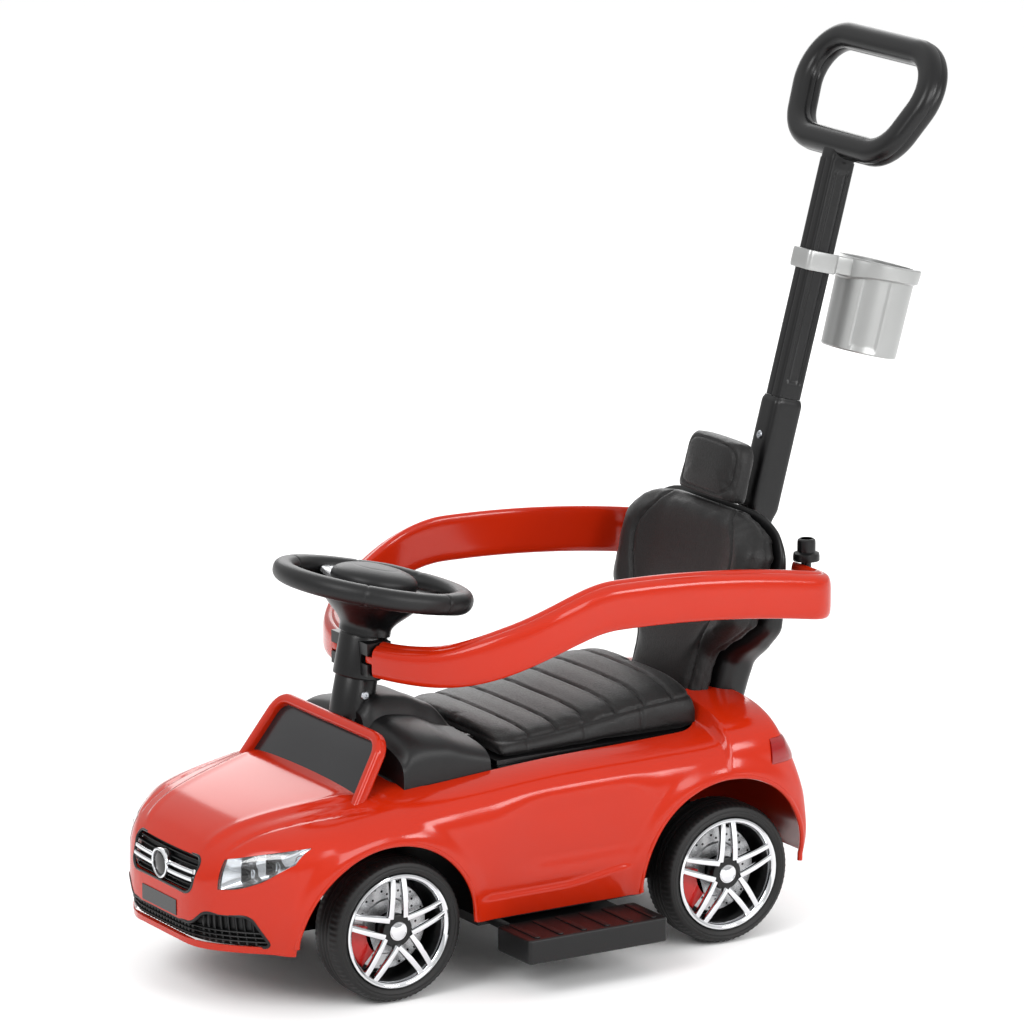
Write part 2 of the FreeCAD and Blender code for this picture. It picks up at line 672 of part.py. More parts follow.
def screen_slab(grow):
    """Leaning slab of the windscreen frame, thicker and longer by a margin."""
    length = S.screen_length + grow
    points = [Vector(S.screen_foot_half, 0, grow), Vector(S.screen_top_half, length, grow),
              Vector(-S.screen_top_half, length, grow), Vector(-S.screen_foot_half, 0, grow)]
    return prism(points, Vector(0, 0, -S.screen_thick - 2 * grow))


def screen_frame():
    """Leaning frame round the windscreen panel."""
    recess = glass_prism(S.play, -S.glass_sunk - S.glass_thick - S.play, S.screen_thick)
    return screen_slab(0).cut(recess)


def windscreen_panel():
    """Dark panel in the frame, trimmed along its foot by the curve of the hood."""
    panel = glass_prism(0, -S.glass_sunk - S.glass_thick, -S.glass_sunk)
    return placed(panel, SCREEN).cut(front_hull(-S.play))


def side_disc(y, z, radius):
    """Disc across one side of the car, outside the inner faces of the wheels."""
    inner = S.king_x - S.knuckle_radius
    return Part.makeCylinder(radius, LONG, Vector(inner, y, z), Vector(1, 0, 0))


def arch_lip(hull, y, z, radius):
    """Raised lip round one wheel opening, on the surface of the body."""
    ring = side_disc(y, z, radius + S.arch_lip).cut(side_disc(y, z, radius))
    proud = hull(-S.arch_flare).cut(hull(S.wall, BELOW))
    return proud.common(ring)


def body_shell():
    """Red shell of the car: one moulding, open below and at the cockpit."""
    outer = front_hull(0).fuse(rear_hull(0))
    shell = outer.cut(front_hull(S.wall, BELOW, 2 * S.wall)).cut(rear_hull(S.wall, BELOW))
    shell = shell.fuse(placed(screen_frame(), SCREEN))
    front_centre = (S.front_axle_y + S.front_arch_set, S.front_arch_z, S.front_arch_radius)
    rear_centre = (S.rear_axle_y + S.rear_arch_set, S.rear_arch_z, S.rear_arch_radius)
    openings = []
    for y, z, radius in (front_centre, rear_centre):
        opening = side_disc(y, z, radius)
        openings += [opening, mirrored(opening)]
    for hull, centre in ((front_hull, front_centre), (front_hull, rear_centre), (rear_hull, rear_centre)):
        lip = arch_lip(hull, *centre)
        shell = shell.fuse([lip, mirrored(lip)])
    cockpit_y = S.front_axle_y + S.cockpit_front
    deck_y = S.rear_axle_y + S.haunch_reach
    openings.append(Part.makeBox(2 * S.cockpit_half, deck_y - S.wall - cockpit_y, LONG,
                                 Vector(-S.cockpit_half, cockpit_y, S.console_foot - BELOW)))
    openings.append(along_y(grille_outline(S.play), NOSE_Y - BELOW, NOSE_Y + BELOW))
    openings.append(intake_prism(S.play))
    lamp = along_y(lamp_outline(S.play), NOSE_Y - BELOW, LAMP_Y + BELOW)
    tail = tail_box(S.play)
    openings += [lamp, mirrored(lamp), tail, mirrored(tail)]
    foot = back_slab(S.play, -S.play, S.shell_base_depth + S.play)
    openings.append(placed(foot, BACK))
    openings.append(placed(socket_block(S.play), POLE))
    shaft_hole = Part.makeCylinder(S.shaft_radius + S.wall, LONG, Vector(0, 0, -LONG))
    openings.append(placed(shaft_hole, COLUMN))
    return shell.cut(openings)


def back_slab(grow, front, back):
    """Foot of the backrest where it passes through the rear deck."""
    half = S.back_waist_half + grow
    low = 2 * S.shell_foot
    return Part.makeBox(2 * half, back - front, S.back_waist - low, Vector(-half, front, low))


def socket_block(grow):
    """Neck of the pole's socket, from inside the rear deck up to its sleeve."""
    half = S.pole_half + grow
    depth = S.pole_depth + grow
    return Part.makeBox(2 * half, 2 * depth, S.socket_low - S.socket_foot + 2 * grow,
                        Vector(-half, -depth, S.socket_foot - grow))


node("body_shell", feature("body_shell", body_shell()))
node("windscreen_panel", feature("windscreen_panel", windscreen_panel()))


# Trim of the nose and the tail: pieces cut from layers of the hull

def slots(half, low, high, count):
    """Level slots through a grille, seen from the front."""
    pitch = (high - low) / count
    return [along_y([(half, z), (half, z + pitch / 2), (-half, z + pitch / 2), (-half, z)], NOSE_Y - BELOW,
                    LAMP_Y)
            for z in (low + (index + 0.25) * pitch for index in range(count))]


def upper_grille():
    """Black grille with level slots, sunk in the nose."""
    plate = skin(front_hull, S.grille_sunk, S.grille_sunk + S.grille_depth)
    plate = plate.common(along_y(grille_outline(0), NOSE_Y - BELOW, NOSE_Y + BELOW))
    return plate.cut(slots(S.bar_half, S.grille_low, S.grille_top, 4))


def grille_bars():
    """Twin chrome bars that follow the nose, with a plain boss between them."""
    layer = front_hull(0).cut(front_hull(S.grille_sunk, BELOW))
    bars = []
    for side in (-1, 1):
        z = S.bar_z + side * (S.bar_gap + S.bar_height) / 2 - S.bar_height / 2
        bars.append(Part.makeBox(2 * S.bar_half, 2 * BELOW, S.bar_height,
                                 Vector(-S.bar_half, NOSE_Y - BELOW, z)))
    strips = layer.common(bars[0].fuse(bars[1]))
    boss = Part.makeCylinder(S.boss_radius, S.boss_depth, Vector(0, NOSE_Y + S.grille_sunk - S.boss_depth,
                                                                 S.bar_z),
                             Vector(0, 1, 0))
    return strips.fuse(boss)


def lower_grille():
    """Black intake that wraps round the bumper's foot, with slots."""
    band = skin(front_hull, S.grille_sunk, S.grille_sunk + S.grille_depth)
    return band.common(intake_prism(0)).cut(slots(S.intake_mid_half, S.intake_low, S.intake_top, 2))


def pair(shape):
    """Left and right pieces of one node."""
    return Part.makeCompound([shape, mirrored(shape)])


def headlight_lens():
    """Clear cover of the left headlight, flush with the wing."""
    layer = front_hull(0).cut(front_hull(S.lens_thick, BELOW))
    return layer.common(along_y(lamp_outline(0), NOSE_Y - BELOW, LAMP_Y))


def headlight_reflector():
    """Reflector of the left headlight with two round bowls."""
    layer = skin(front_hull, S.lens_thick + S.play, S.lens_thick + S.reflector_depth)
    body = layer.common(along_y(lamp_outline(0), NOSE_Y - BELOW, LAMP_Y))
    middle = (S.lamp_inner_low + S.lamp_outer_top) / 2
    bowls = []
    for share in (0.35, 0.65):
        x = S.lamp_inner + share * (S.lamp_outer - S.lamp_inner)
        bowls.append(Part.makeCylinder(S.projector_radius, LONG, Vector(x, NOSE_Y - BELOW, middle),
                                       Vector(0, 1, 0)))
    shallow = front_hull(S.lens_thick + S.reflector_depth / 2, BELOW)
    return body.cut(bowls[0].fuse(bowls[1]).cut(shallow))


def tail_light():
    """Red tail light of the left rear corner."""
    layer = rear_hull(0).cut(rear_hull(S.tail_lamp_depth, BELOW))
    return layer.common(tail_box(0))


node("upper_grille", feature("upper_grille", upper_grille()))
node("grille_bars", feature("grille_bars", grille_bars()))
node("lower_grille", feature("lower_grille", lower_grille()))
node("headlight_lenses", feature("headlight_lenses", pair(headlight_lens())))
node("headlight_reflectors", feature("headlight_reflectors", pair(headlight_reflector())))
node("tail_lights", feature("tail_lights", pair(tail_light())))
node("plate_blank", block("plate_blank", "-plate_half", "front_axle_y + nose_reach - plate_thick",
                          "plate_low",
                          "2 * plate_half", "plate_thick", "plate_height"))


# Floor pan with the axle bearings and the guide of the foot steps

pan_corners = [("pan_nose_half", "front_axle_y + pan_nose"), ("pan_nose_half",
                                                              "front_axle_y + pan_waist_front"),
               ("pan_half", "front_axle_y + pan_waist_front"), ("pan_half", "rear_axle_y + pan_waist_rear"),
               ("pan_tail_half", "rear_axle_y + pan_waist_rear"),
               ("pan_tail_half", "rear_axle_y + pan_tail")]
pan_corners += [("-" + x, y) for x, y in reversed(pan_corners)]
pan_plate = padded("pan_plate", pan_corners, "pan_thick")
window_x = "post_inner + post_width + play"
window_front = "front_axle_y - beam_half - play"
window_rear = "front_axle_y + beam_half + play"
pocketed(pan_plate, "beam_window", [(window_x, window_front), (window_x, window_rear),
                                    ("-" + window_x.replace("+", "-"), window_rear),
                                    ("-" + window_x.replace("+", "-"), window_front)])
at(pan_plate, "0", "0", "pan_low")
bearings = [block("bearing_" + side, f"{sign} * (pan_tail_half - bearing_width / 2) - bearing_width / 2",
                  "rear_axle_y - bearing_half", "pan_low + pan_thick / 2",
                  "bearing_width", "2 * bearing_half", "bearing_height") for side, sign in SIDES]
guide_outside = block("guide_outside", "-guide_end",
                      "front_axle_y + step_front + tongue_inset - guide_wall",
                      "tongue_low - play - guide_wall", "2 * guide_end",
                      "step_length - 2 * tongue_inset + 2 * guide_wall",
                      "pan_low - tongue_low + play + guide_wall + pan_thick / 2")
guide_inside = block("guide_inside", "-2 * guide_end", "front_axle_y + step_front + tongue_inset - play",
                     "tongue_low - play", "4 * guide_end",
                     "step_length - 2 * tongue_inset + 2 * play", "tongue_thick + 2 * play")
axle_hole = rod("axle_hole", ACROSS, "-2 * track_half", "rear_axle_y", "tyre_radius", "axle_radius",
                "4 * track_half")
pan_mass = fuse("pan_mass", pan_plate, guide_outside, *bearings)
node("floor_pan", cut("floor_pan", pan_mass, guide_inside, axle_hole))


# Front beam with its king pins

beam_foot = block("beam_foot", "-king_x", "front_axle_y - beam_half", "beam_low", "2 * king_x",
                  "2 * beam_half",
                  "beam_plate")
beam_parts = [beam_foot]
for side, sign in SIDES:
    beam_parts.append(rod("beam_foot_end_" + side, UPRIGHT, f"{sign} * king_x", "front_axle_y", "beam_low",
                          "beam_half", "beam_plate"))
    beam_parts.append(rod("beam_arm_end_" + side, UPRIGHT, f"{sign} * king_x", "front_axle_y",
                          "beam_low + beam_plate + knuckle_height + 2 * play", "beam_half", "beam_plate"))
    beam_parts.append(block("beam_arm_" + side,
                            f"{sign} * (king_x + post_inner) / 2 - (king_x - post_inner) / 2",
                            "front_axle_y - beam_half", "beam_low + beam_plate + knuckle_height + 2 * play",
                            "king_x - post_inner", "2 * beam_half", "beam_plate"))
    beam_parts.append(block("beam_post_" + side, f"{sign} * (post_inner + post_width / 2) - post_width / 2",
                            "front_axle_y - beam_half", "beam_low", "post_width", "2 * beam_half",
                            "2 * beam_plate + knuckle_height + 2 * play"))
    beam_parts.append(rod("king_pin_" + side, UPRIGHT, f"{sign} * king_x", "front_axle_y", "beam_low",
                          "king_radius", "2 * beam_plate + knuckle_height + 2 * play"))
node("front_beam", fuse("front_beam", *beam_parts))


# Knuckles, tie rod and rear axle

HUB_FACE = "track_half - tyre_width / 2"

for side, sign in SIDES:
    barrel = rod("knuckle_barrel_" + side, UPRIGHT, f"{sign} * king_x", "front_axle_y",
                 "beam_low + beam_plate + play", "knuckle_radius", "knuckle_height")
    stub_end = "track_half + tyre_width / 2 - axle_sunk"
    stub = rod("stub_" + side, ACROSS, f"{sign} * (king_x + {stub_end}) / 2 - ({stub_end} - king_x) / 2",
               "front_axle_y", "tyre_radius", "axle_radius", f"{stub_end} - king_x")
    thrust_end = f"{HUB_FACE} - play"
    thrust = rod("thrust_" + side, ACROSS,
                 f"{sign} * (king_x + {thrust_end}) / 2 - ({thrust_end} - king_x) / 2",
                 "front_axle_y", "tyre_radius", "thrust_radius", f"{thrust_end} - king_x")
    arm = block("arm_" + side, f"{sign} * king_x - arm_half", "front_axle_y - arm_length", "arm_low",
                "2 * arm_half", "arm_length", "arm_thick")
    arm_end = rod("arm_end_" + side, UPRIGHT, f"{sign} * king_x", "front_axle_y - arm_length", "arm_low",
                  "arm_half", "arm_thick")
    arm_pin = rod("arm_pin_" + side, UPRIGHT, f"{sign} * king_x", "front_axle_y - arm_length", "arm_low",
                  "arm_pin", "arm_thick + tie_height + 3 * play")
    king_bore = rod("king_bore_" + side, UPRIGHT, f"{sign} * king_x", "front_axle_y", "0",
                    "king_radius + running", "4 * tyre_radius")
    knuckle = fuse("knuckle_mass_" + side, barrel, stub, thrust, arm, arm_end, arm_pin)
    node("knuckle_" + side, cut("knuckle_" + side, knuckle, king_bore))

tie_end = "king_x + tie_overhang"
tie = padded("tie_rod", [(tie_end, "-tie_half"), (tie_end, "tie_half"),
                         ("-king_x - tie_overhang", "tie_half"), ("-king_x - tie_overhang", "-tie_half")],
             "tie_height")
pin_rise = "(helm_z - arm_low - arm_thick - play - tie_height / 2)"
pin_set = f"helm_y + arm_length - arm_length / cos(column_lean) - {pin_rise} * tan(column_lean)"
for place_word, centre, shift in (("middle", "0", pin_set), ("left", "king_x", "0"),
                                  ("right", "-king_x", "0")):
    slot = [(centre + " + slot_half", shift + " - slot_reach"),
            (centre + " + slot_half", shift + " + slot_reach"),
            (centre + " - slot_half", shift + " + slot_reach"),
            (centre + " - slot_half", shift + " - slot_reach")]
    pocketed(tie, "slot_" + place_word, slot)
at(tie, "0", "front_axle_y - arm_length", "arm_low + arm_thick + play")
node("tie_rod", tie)

axle = rod("axle_rod", ACROSS, "-track_half - tyre_width / 2 + axle_sunk", "rear_axle_y", "tyre_radius",
           "axle_radius", "2 * track_half + tyre_width - 2 * axle_sunk")
spacers = [rod("spacer_" + side, ACROSS, f"{sign} * (pan_tail_half + {HUB_FACE}) / 2 - "
               f"({HUB_FACE} - pan_tail_half) / 2 + play / 2", "rear_axle_y", "tyre_radius",
               "thrust_radius",
               f"{HUB_FACE} - pan_tail_half - play") for side, sign in SIDES]
node("rear_axle", fuse("rear_axle", axle, *spacers))


# Wheels: pieces turned round X with the outer face towards +X, then set on the four corners

half_tyre = "tyre_width / 2"
tyre_half = [(half_tyre, "rim_radius"), (half_tyre, "tyre_radius - tyre_corner"),
             ("tyre_width / 2 - 0.3 * tyre_corner", "tyre_radius - 0.35 * tyre_corner"),
             ("tyre_width / 2 - tyre_corner", "tyre_radius")]
tyre = turned("tyre", tyre_half + [(f"-({along})", radius) for along, radius in reversed(tyre_half)])
barrel_inner = "rim_radius - barrel_wall"
dish_end = "tyre_width / 2 - star_depth"
dish = turned("wheel_dish", [
    ("-" + half_tyre, "axle_radius + running"), ("-" + half_tyre, "rim_radius"), (dish_end, "rim_radius"),
    (dish_end, barrel_inner), ("-tyre_width / 2 + web_depth", barrel_inner),
    ("-tyre_width / 2 + web_depth", "hub_radius"), (dish_end, "hub_radius"),
    (dish_end, "axle_radius + running")])


def brake_insert():
    """Disc with a ring of holes and the caliper, moulded as one insert behind the star."""
    back = -S.tyre_width / 2 + S.web_depth + S.caliper_depth
    disc = Part.makeCylinder(S.disc_radius, S.disc_depth, Vector(back, 0, 0), Vector(1, 0, 0))
    seat = Part.makeCylinder(S.hub_radius + S.barrel_wall, S.caliper_depth,
                             Vector(back - S.caliper_depth, 0, 0),
                             Vector(1, 0, 0))
    count = int(2 * math.pi * S.disc_hole_ring // (9 * S.disc_hole))
    holes = [Part.makeCylinder(S.disc_hole, LONG, Vector(-LONG / 2, S.disc_hole_ring * math.cos(turn),
                                                         S.disc_hole_ring * math.sin(turn)),
                                                         Vector(1, 0, 0))
             for turn in (2 * math.pi * index / count for index in range(count))]
    bore = Part.makeCylinder(S.hub_radius, LONG, Vector(-LONG / 2, 0, 0), Vector(1, 0, 0))
    outer = S.rim_radius - S.barrel_wall - S.play
    wedge = prism([Vector(back, -outer, -outer * 0.45), Vector(back, -outer, outer * 0.45),
                   Vector(back, -S.disc_hole_ring * 0.75, outer * 0.3),
                   Vector(back, -S.disc_hole_ring * 0.75, -outer * 0.3)], Vector(S.caliper_depth, 0, 0))
    round_edge = Part.makeCylinder(outer, LONG, Vector(-LONG / 2, 0, 0), Vector(1, 0, 0))
    return disc.fuse(seat).cut([bore] + holes).fuse(wedge.common(round_edge))


def wheel_star():
    """Chrome star of five twin spokes with its rim ring and a plain hub cap."""
    low = S.tyre_width / 2 - S.star_depth
    axis = Vector(1, 0, 0)
    ring = Part.makeCylinder(S.rim_radius, S.star_depth, Vector(low, 0, 0), axis)
    ring = ring.cut(Part.makeCylinder(S.rim_radius - S.star_ring, S.star_depth, Vector(low, 0, 0), axis))
    pieces = [Part.makeCylinder(S.cap_radius, S.star_depth, Vector(low, 0, 0), axis)]
    length = S.rim_radius - S.star_ring / 2
    bar = Part.makeBox(S.star_depth - 1.5, S.spoke_width, length, Vector(low, -S.spoke_width / 2, 0))
    for index in range(5):
        for lean in (-S.spoke_spread, S.spoke_spread):
            spoke = bar.copy()
            spoke.rotate(Vector(), axis, 72 * index + lean)
            pieces.append(spoke)
    return ring.fuse(pieces).removeSplitter()


masters = {"tyre": tyre, "wheel_dish": dish, "brake_insert": feature("brake_insert", brake_insert()),
           "wheel_star": feature("wheel_star", wheel_star())}
doc.recompute()
for corner, y in (("front", S.front_axle_y), ("rear", S.rear_axle_y)):
    for side, sign in SIDES:
        turn = Rotation() if sign > 0 else Rotation(Vector(0, 0, 1), 180)
        spot = Placement(Vector(sign * S.track_half, y, S.tyre_radius), turn)
        for piece, master in masters.items():
            label = f"{piece}_{corner}_{side}"
            node(label, feature(label, master.Shape.copy(), spot))


# Storage tub

tub_outside = block("tub_outside", "-tub_half", "rear_axle_y + tub_front", "pan_low + pan_thick",
                    "2 * tub_half", "tub_rear - tub_front", "tub_rim - pan_low - pan_thick")
tub_flange = block("tub_flange", "-cockpit_half + play", "rear_axle_y + tub_front - 2 * wall",
                   "tub_rim - wall",
                   "2 * cockpit_half - 2 * play", "tub_rear - tub_front + 3 * wall", "wall")
tub_inside = block("tub_inside", "-tub_half + wall", "rear_axle_y + tub_front + wall",
                   "pan_low + pan_thick + wall", "2 * tub_half - 2 * wall",
                   "tub_rear - tub_front - 2 * wall",
                   "tub_rim")
node("storage_tub", cut("storage_tub", fuse("tub_mass", tub_outside, tub_flange), tub_inside))


# Console with the pod, and the hinge of the seat

HINGE_Y = "rear_axle_y + seat_front + hinge_set"


def arched_section(y, half, low, top, crown, radius):
    """Section with upright sides, round shoulders and a crowned top."""
    edge = top - crown
    slant = radius * math.sqrt(0.5)
    right = [Vector(half, y, low), Vector(half, y, edge - radius),
             Vector(half - radius + slant, y, edge - radius + slant), Vector(half - radius, y, edge)]
    left = [Vector(-point.x, point.y, point.z) for point in right]
    edges = [Part.makeLine(right[0], right[1]), Part.Arc(right[1], right[2], right[3]).toShape(),
             Part.Arc(right[3], Vector(0, y, top), left[3]).toShape(),
             Part.Arc(left[3], left[2], left[1]).toShape(), Part.makeLine(left[1], left[0]),
             Part.makeLine(left[0], right[0])]
    return Part.Wire(edges)


def console_loft(inset, drop):
    """Console from the windscreen to the seat, set in by a wall."""
    half = S.cockpit_half - S.play - inset
    stops = [(S.console_front + inset, S.console_front_top), (S.console_peak, S.console_peak_top),
             (S.console_rear - inset, S.console_rear_top)]
    return Part.makeLoft([arched_section(S.front_axle_y + y, half, S.console_foot - drop, top - inset,
                                         S.roof_crown, S.console_shoulder - inset) for y, top in stops],
                                         True, True)


def console_shape():
    """Hollow console with the pod behind the column and the ears of the seat's hinge."""
    ridge = []
    for share, top, half in ((0, S.ridge_front_top, 1), (0.25, S.ridge_top, 1),
                             (0.5, S.ridge_top - S.ridge_fall, 1),
                             (0.75, S.console_rear_top + S.ridge_fall, 0.9),
                             (1, S.console_rear_top + S.wall, 0.8)):
        y = S.front_axle_y + S.console_front + share * (S.console_rear - S.console_front)
        ridge.append(arched_section(y, S.ridge_half * half, S.console_foot + S.wall, top, S.roof_crown,
                                    S.ridge_half * half / 2))
    pod = Part.makeLoft(ridge, True, True)
    body = console_loft(0, 0).fuse(pod).cut(console_loft(S.wall, BELOW))
    column = Part.makeCylinder(S.column_radius, LONG, Vector(0, 0, -LONG / 2))
    body = body.cut(placed(column, COLUMN))
    rear_y = S.front_axle_y + S.console_rear
    hinge_y = S.rear_axle_y + S.seat_front + S.hinge_set
    radius = S.hinge_barrel
    outer_x = S.hinge_inner + S.hinge_length + S.play
    for x in (S.hinge_inner - S.play - S.ear_width, outer_x, -S.hinge_inner + S.play,
              -outer_x - S.ear_width):
        ear = Part.makeCylinder(radius, S.ear_width, Vector(x, hinge_y, S.hinge_z), Vector(1, 0, 0))
        web = Part.makeBox(S.ear_width, hinge_y - rear_y + S.wall, 2 * radius,
                           Vector(x, rear_y - S.wall, S.hinge_z - radius))
        body = body.fuse([ear, web])
    bore = Part.makeCylinder(S.hinge_pin, LONG, Vector(-LONG / 2, hinge_y, S.hinge_z), Vector(1, 0, 0))
    return body.cut(bore)


node("console", feature("console", console_shape()))
node("seat_hinge_pin", rod("seat_hinge_pin", ACROSS, "-hinge_inner - hinge_length - play - ear_width",
                           HINGE_Y,
                           "hinge_z", "hinge_pin", "2 * (hinge_inner + hinge_length + play + ear_width)"))


# Seat: board with hinge barrels, and the sewn cushion on it

board_low = "tub_rim + play"
board_plate = block("board_plate", "-board_half", "rear_axle_y + seat_front", board_low, "2 * board_half",
                    "seat_rear - seat_front", "board_thick")
board_parts = [board_plate]
for side, sign in SIDES:
    middle = f"{sign} * (hinge_inner + hinge_length / 2) - hinge_length / 2"
    board_parts.append(rod("hinge_barrel_" + side, ACROSS, middle, HINGE_Y, "hinge_z", "hinge_barrel",
                           "hinge_length"))
    board_parts.append(block("hinge_leaf_" + side, middle, HINGE_Y + " + hinge_pin", board_low,
                             "hinge_length",
                             "hinge_barrel + wall", "hinge_z - tub_rim - play"))
hinge_bore = rod("hinge_bore", ACROSS, "-2 * board_half", HINGE_Y, "hinge_z", "hinge_pin + running",
                 "4 * board_half")
node("seat_board", cut("seat_board", fuse("board_mass", *board_parts), hinge_bore))


def cushion():
    """Seat cushion: crowned lobes across the seat, drawn in at the channels between them."""
    foot = S.tub_rim + S.play + S.board_thick
    front = S.rear_axle_y + S.seat_front + S.hinge_barrel + S.wall
    rear = S.rear_axle_y + S.seat_rear
    count = int(round(S.channel_count))
    sections = []
    for step in range(2 * count + 1):
        share = step / (2 * count)
        swell = 0 if step % 2 else 1
        ease = share * share * (3 - 2 * share)
        end = 1 if 0 < step < 2 * count else 1.5
        top = S.cushion_front_top + (S.cushion_rear_top - S.cushion_front_top) * ease
        crown = S.cushion_front_crown + (S.cushion_rear_crown - S.cushion_front_crown) * ease
        dip = S.channel_depth * swell * end
        half = S.cushion_half - S.cushion_draw * 0.5 - 0.25 * dip
        sections.append(arched_section(front + (rear - front) * share, half, foot, top - dip, crown,
                                       S.cushion_corner))
    return Part.makeLoft(sections, True, True)


node("seat_cushion", feature("seat_cushion", cushion()))


# Steering column, collar and steering wheel, in the frame of the leaning axis

def upright_rod(radius, low, high):
    """Cylinder on the local axis between two heights."""
    return Part.makeCylinder(radius, high - low, Vector(0, 0, low))


def column_tube():
    """Fixed tube of the column, notched in front where it stands behind the windscreen frame."""
    tube = upright_rod(S.column_radius, -S.column_foot, -S.column_top)
    tube = placed(tube.cut(upright_rod(S.shaft_radius + S.running, -LONG, LONG)), COLUMN)
    return tube.cut(placed(screen_slab(S.play), SCREEN))


def rail_collar():
    """Collar round the column with a bracket slotted for the tongue of each rail."""
    top = -S.column_top
    ring = placed(upright_rod(S.collar_radius, top - S.collar_height, top), COLUMN)
    middle = S.tongue_z + S.rail_tongue / 2
    middle_y = S.front_axle_y + S.helm_y - (S.helm_z - middle) * math.tan(math.radians(S.column_lean))
    bracket = Part.makeBox(2 * S.bracket_reach, 2 * S.bracket_half, S.bracket_height,
                           Vector(-S.bracket_reach, middle_y - S.bracket_half, S.bracket_low))
    slot_height = S.rail_tongue + 2 * S.play
    slots = [Part.makeBox(LONG, LONG, slot_height, Vector(x, middle_y - LONG / 2, S.tongue_z - S.play))
             for x in (S.collar_radius, -S.collar_radius - LONG)]
    return ring.fuse(bracket.cut(slots)).cut(placed(upright_rod(S.column_radius, -LONG, LONG), COLUMN))


def hub_bowl():
    """Bowl under the steering wheel that joins the shaft to the spokes."""
    neck = -S.column_top + S.play
    points = [(S.shaft_radius, neck), (S.bowl_neck, neck), (S.bowl_neck, neck + S.bowl_top),
              (S.bowl_radius, -2 * S.bowl_top), (S.bowl_radius, -S.bowl_top),
              (S.stem_radius + S.play, -S.bowl_top),
              (S.stem_radius + S.play, -S.shaft_top), (S.shaft_radius, -S.shaft_top)]
    return polygon([Vector(radius, 0, z) for radius, z in points]).revolve(Vector(), Vector(0, 0, 1), 360)


def button_block(sign, grow, low, high):
    """Music button on a side spoke, larger by a margin."""
    return Part.makeBox(S.button_length + 2 * grow, S.button_width + 2 * grow, high - low,
                        Vector(sign * S.button_at - S.button_length / 2 - grow, -S.button_width / 2 - grow,
                               low))


SPOKE_LOW = -S.bowl_top
SPOKE_TOP = SPOKE_LOW + S.spoke_thick


def steering_spokes():
    """Two side spokes and a rear spoke on the bowl, with wells for the buttons."""
    reach = S.helm_radius - math.sqrt(S.grip_radius ** 2 - SPOKE_TOP ** 2) - S.play
    disc = upright_rod(S.bowl_radius, SPOKE_LOW, SPOKE_TOP)
    bar = Part.makeBox(2 * reach, 2 * S.spoke_half, S.spoke_thick, Vector(-reach, -S.spoke_half, SPOKE_LOW))
    rear = Part.makeBox(2 * S.lower_spoke_half, reach, S.spoke_thick,
                        Vector(-S.lower_spoke_half, 0, SPOKE_LOW))
    wells = [button_block(sign, S.play, -LONG, LONG) for side, sign in SIDES]
    rim = Part.makeTorus(S.helm_radius, S.grip_radius + S.play)
    stem = upright_rod(S.stem_radius + S.running, -LONG, LONG)
    return disc.fuse([bar, rear]).cut(wells + [rim, stem])


def horn_pad():
    """Domed pad over the hub with a guide stem."""
    low = SPOKE_TOP + S.press_travel + S.play
    crown = (S.pad_radius ** 2 + S.pad_height ** 2) / (2 * S.pad_height)
    ball = Part.makeSphere(crown, Vector(0, 0, low + S.pad_height - crown))
    dome = ball.common(upright_rod(S.pad_radius, low, low + 2 * S.pad_height))
    return dome.fuse(upright_rod(S.stem_radius, SPOKE_LOW + S.play, low))


def steering_shaft():
    """Shaft from the bowl to the crank, with the pin that drives the tie rod."""
    shaft = upright_rod(S.shaft_radius, -S.crank_drop - S.crank_thick, -S.shaft_top)
    arm = Part.makeBox(2 * S.crank_half, S.arm_length, S.crank_thick,
                       Vector(-S.crank_half, -S.arm_length, -S.crank_drop - S.crank_thick))
    end = Part.makeCylinder(S.crank_half, S.crank_thick, Vector(0, -S.arm_length,
                                                                -S.crank_drop - S.crank_thick))
    pin = Part.makeCylinder(S.arm_pin, S.crank_pin_length,
                            Vector(0, -S.arm_length, -S.crank_drop - S.crank_thick - S.crank_pin_length))
    return shaft.fuse([arm, end, pin])


node("column_tube", feature("column_tube", column_tube()))
node("rail_collar", feature("rail_collar", rail_collar()))
node("hub_bowl", feature("hub_bowl", hub_bowl(), COLUMN))
node("steering_spokes", feature("steering_spokes", steering_spokes(), COLUMN))
node("steering_rim", feature("steering_rim", Part.makeTorus(S.helm_radius, S.grip_radius), COLUMN))
node("steering_shaft", feature("steering_shaft", steering_shaft(), COLUMN))
node("horn_pad", feature("horn_pad", horn_pad(), COLUMN))
for side, sign in SIDES:
    label = "music_button_" + side
    node(label, feature(label, button_block(sign, 0, SPOKE_LOW + S.play, SPOKE_TOP + S.button_rise),
                        COLUMN))


# Foot steps that slide out of the guide under the floor

for side, sign in SIDES:
    tread = block("tread_" + side, f"{sign} * (step_outer - step_width / 2) - step_width / 2",
                  "front_axle_y + step_front", "step_low", "step_width", "step_length", "step_height")
    hollow = block("hollow_" + side, f"{sign} * (step_outer - step_width / 2) - step_width / 2 + step_wall",
                   "front_axle_y + step_front + step_wall", "step_low - step_wall",
                   "step_width - 2 * step_wall",
                   "step_length - 2 * step_wall", "step_height")
    tongue = block("tongue_" + side, f"{sign} * (step_outer - step_width + tongue_inner) / 2 - "
                   "(step_outer - step_width - tongue_inner) / 2",
                   "front_axle_y + step_front + tongue_inset",
                   "tongue_low", "step_outer - step_width - tongue_inner", "step_length - 2 * tongue_inset",
                   "tongue_thick")
    ribs = [block(f"rib_{side}_{index}",
                  f"{sign} * (step_outer - step_width / 2) - step_width / 2 + step_wall",
                  f"front_axle_y + step_front + step_length * {index + 0.5} / step_ribs - step_wall",
                  "step_low + step_height - step_wall / 2", "step_width - 2 * step_wall", "2 * step_wall",
                  "step_wall / 2 + rib_height") for index in range(int(S.step_ribs))]
    node("foot_step_" + side, fuse("foot_step_" + side, cut("step_shell_" + side, tread, hollow), tongue,
                                   *ribs))


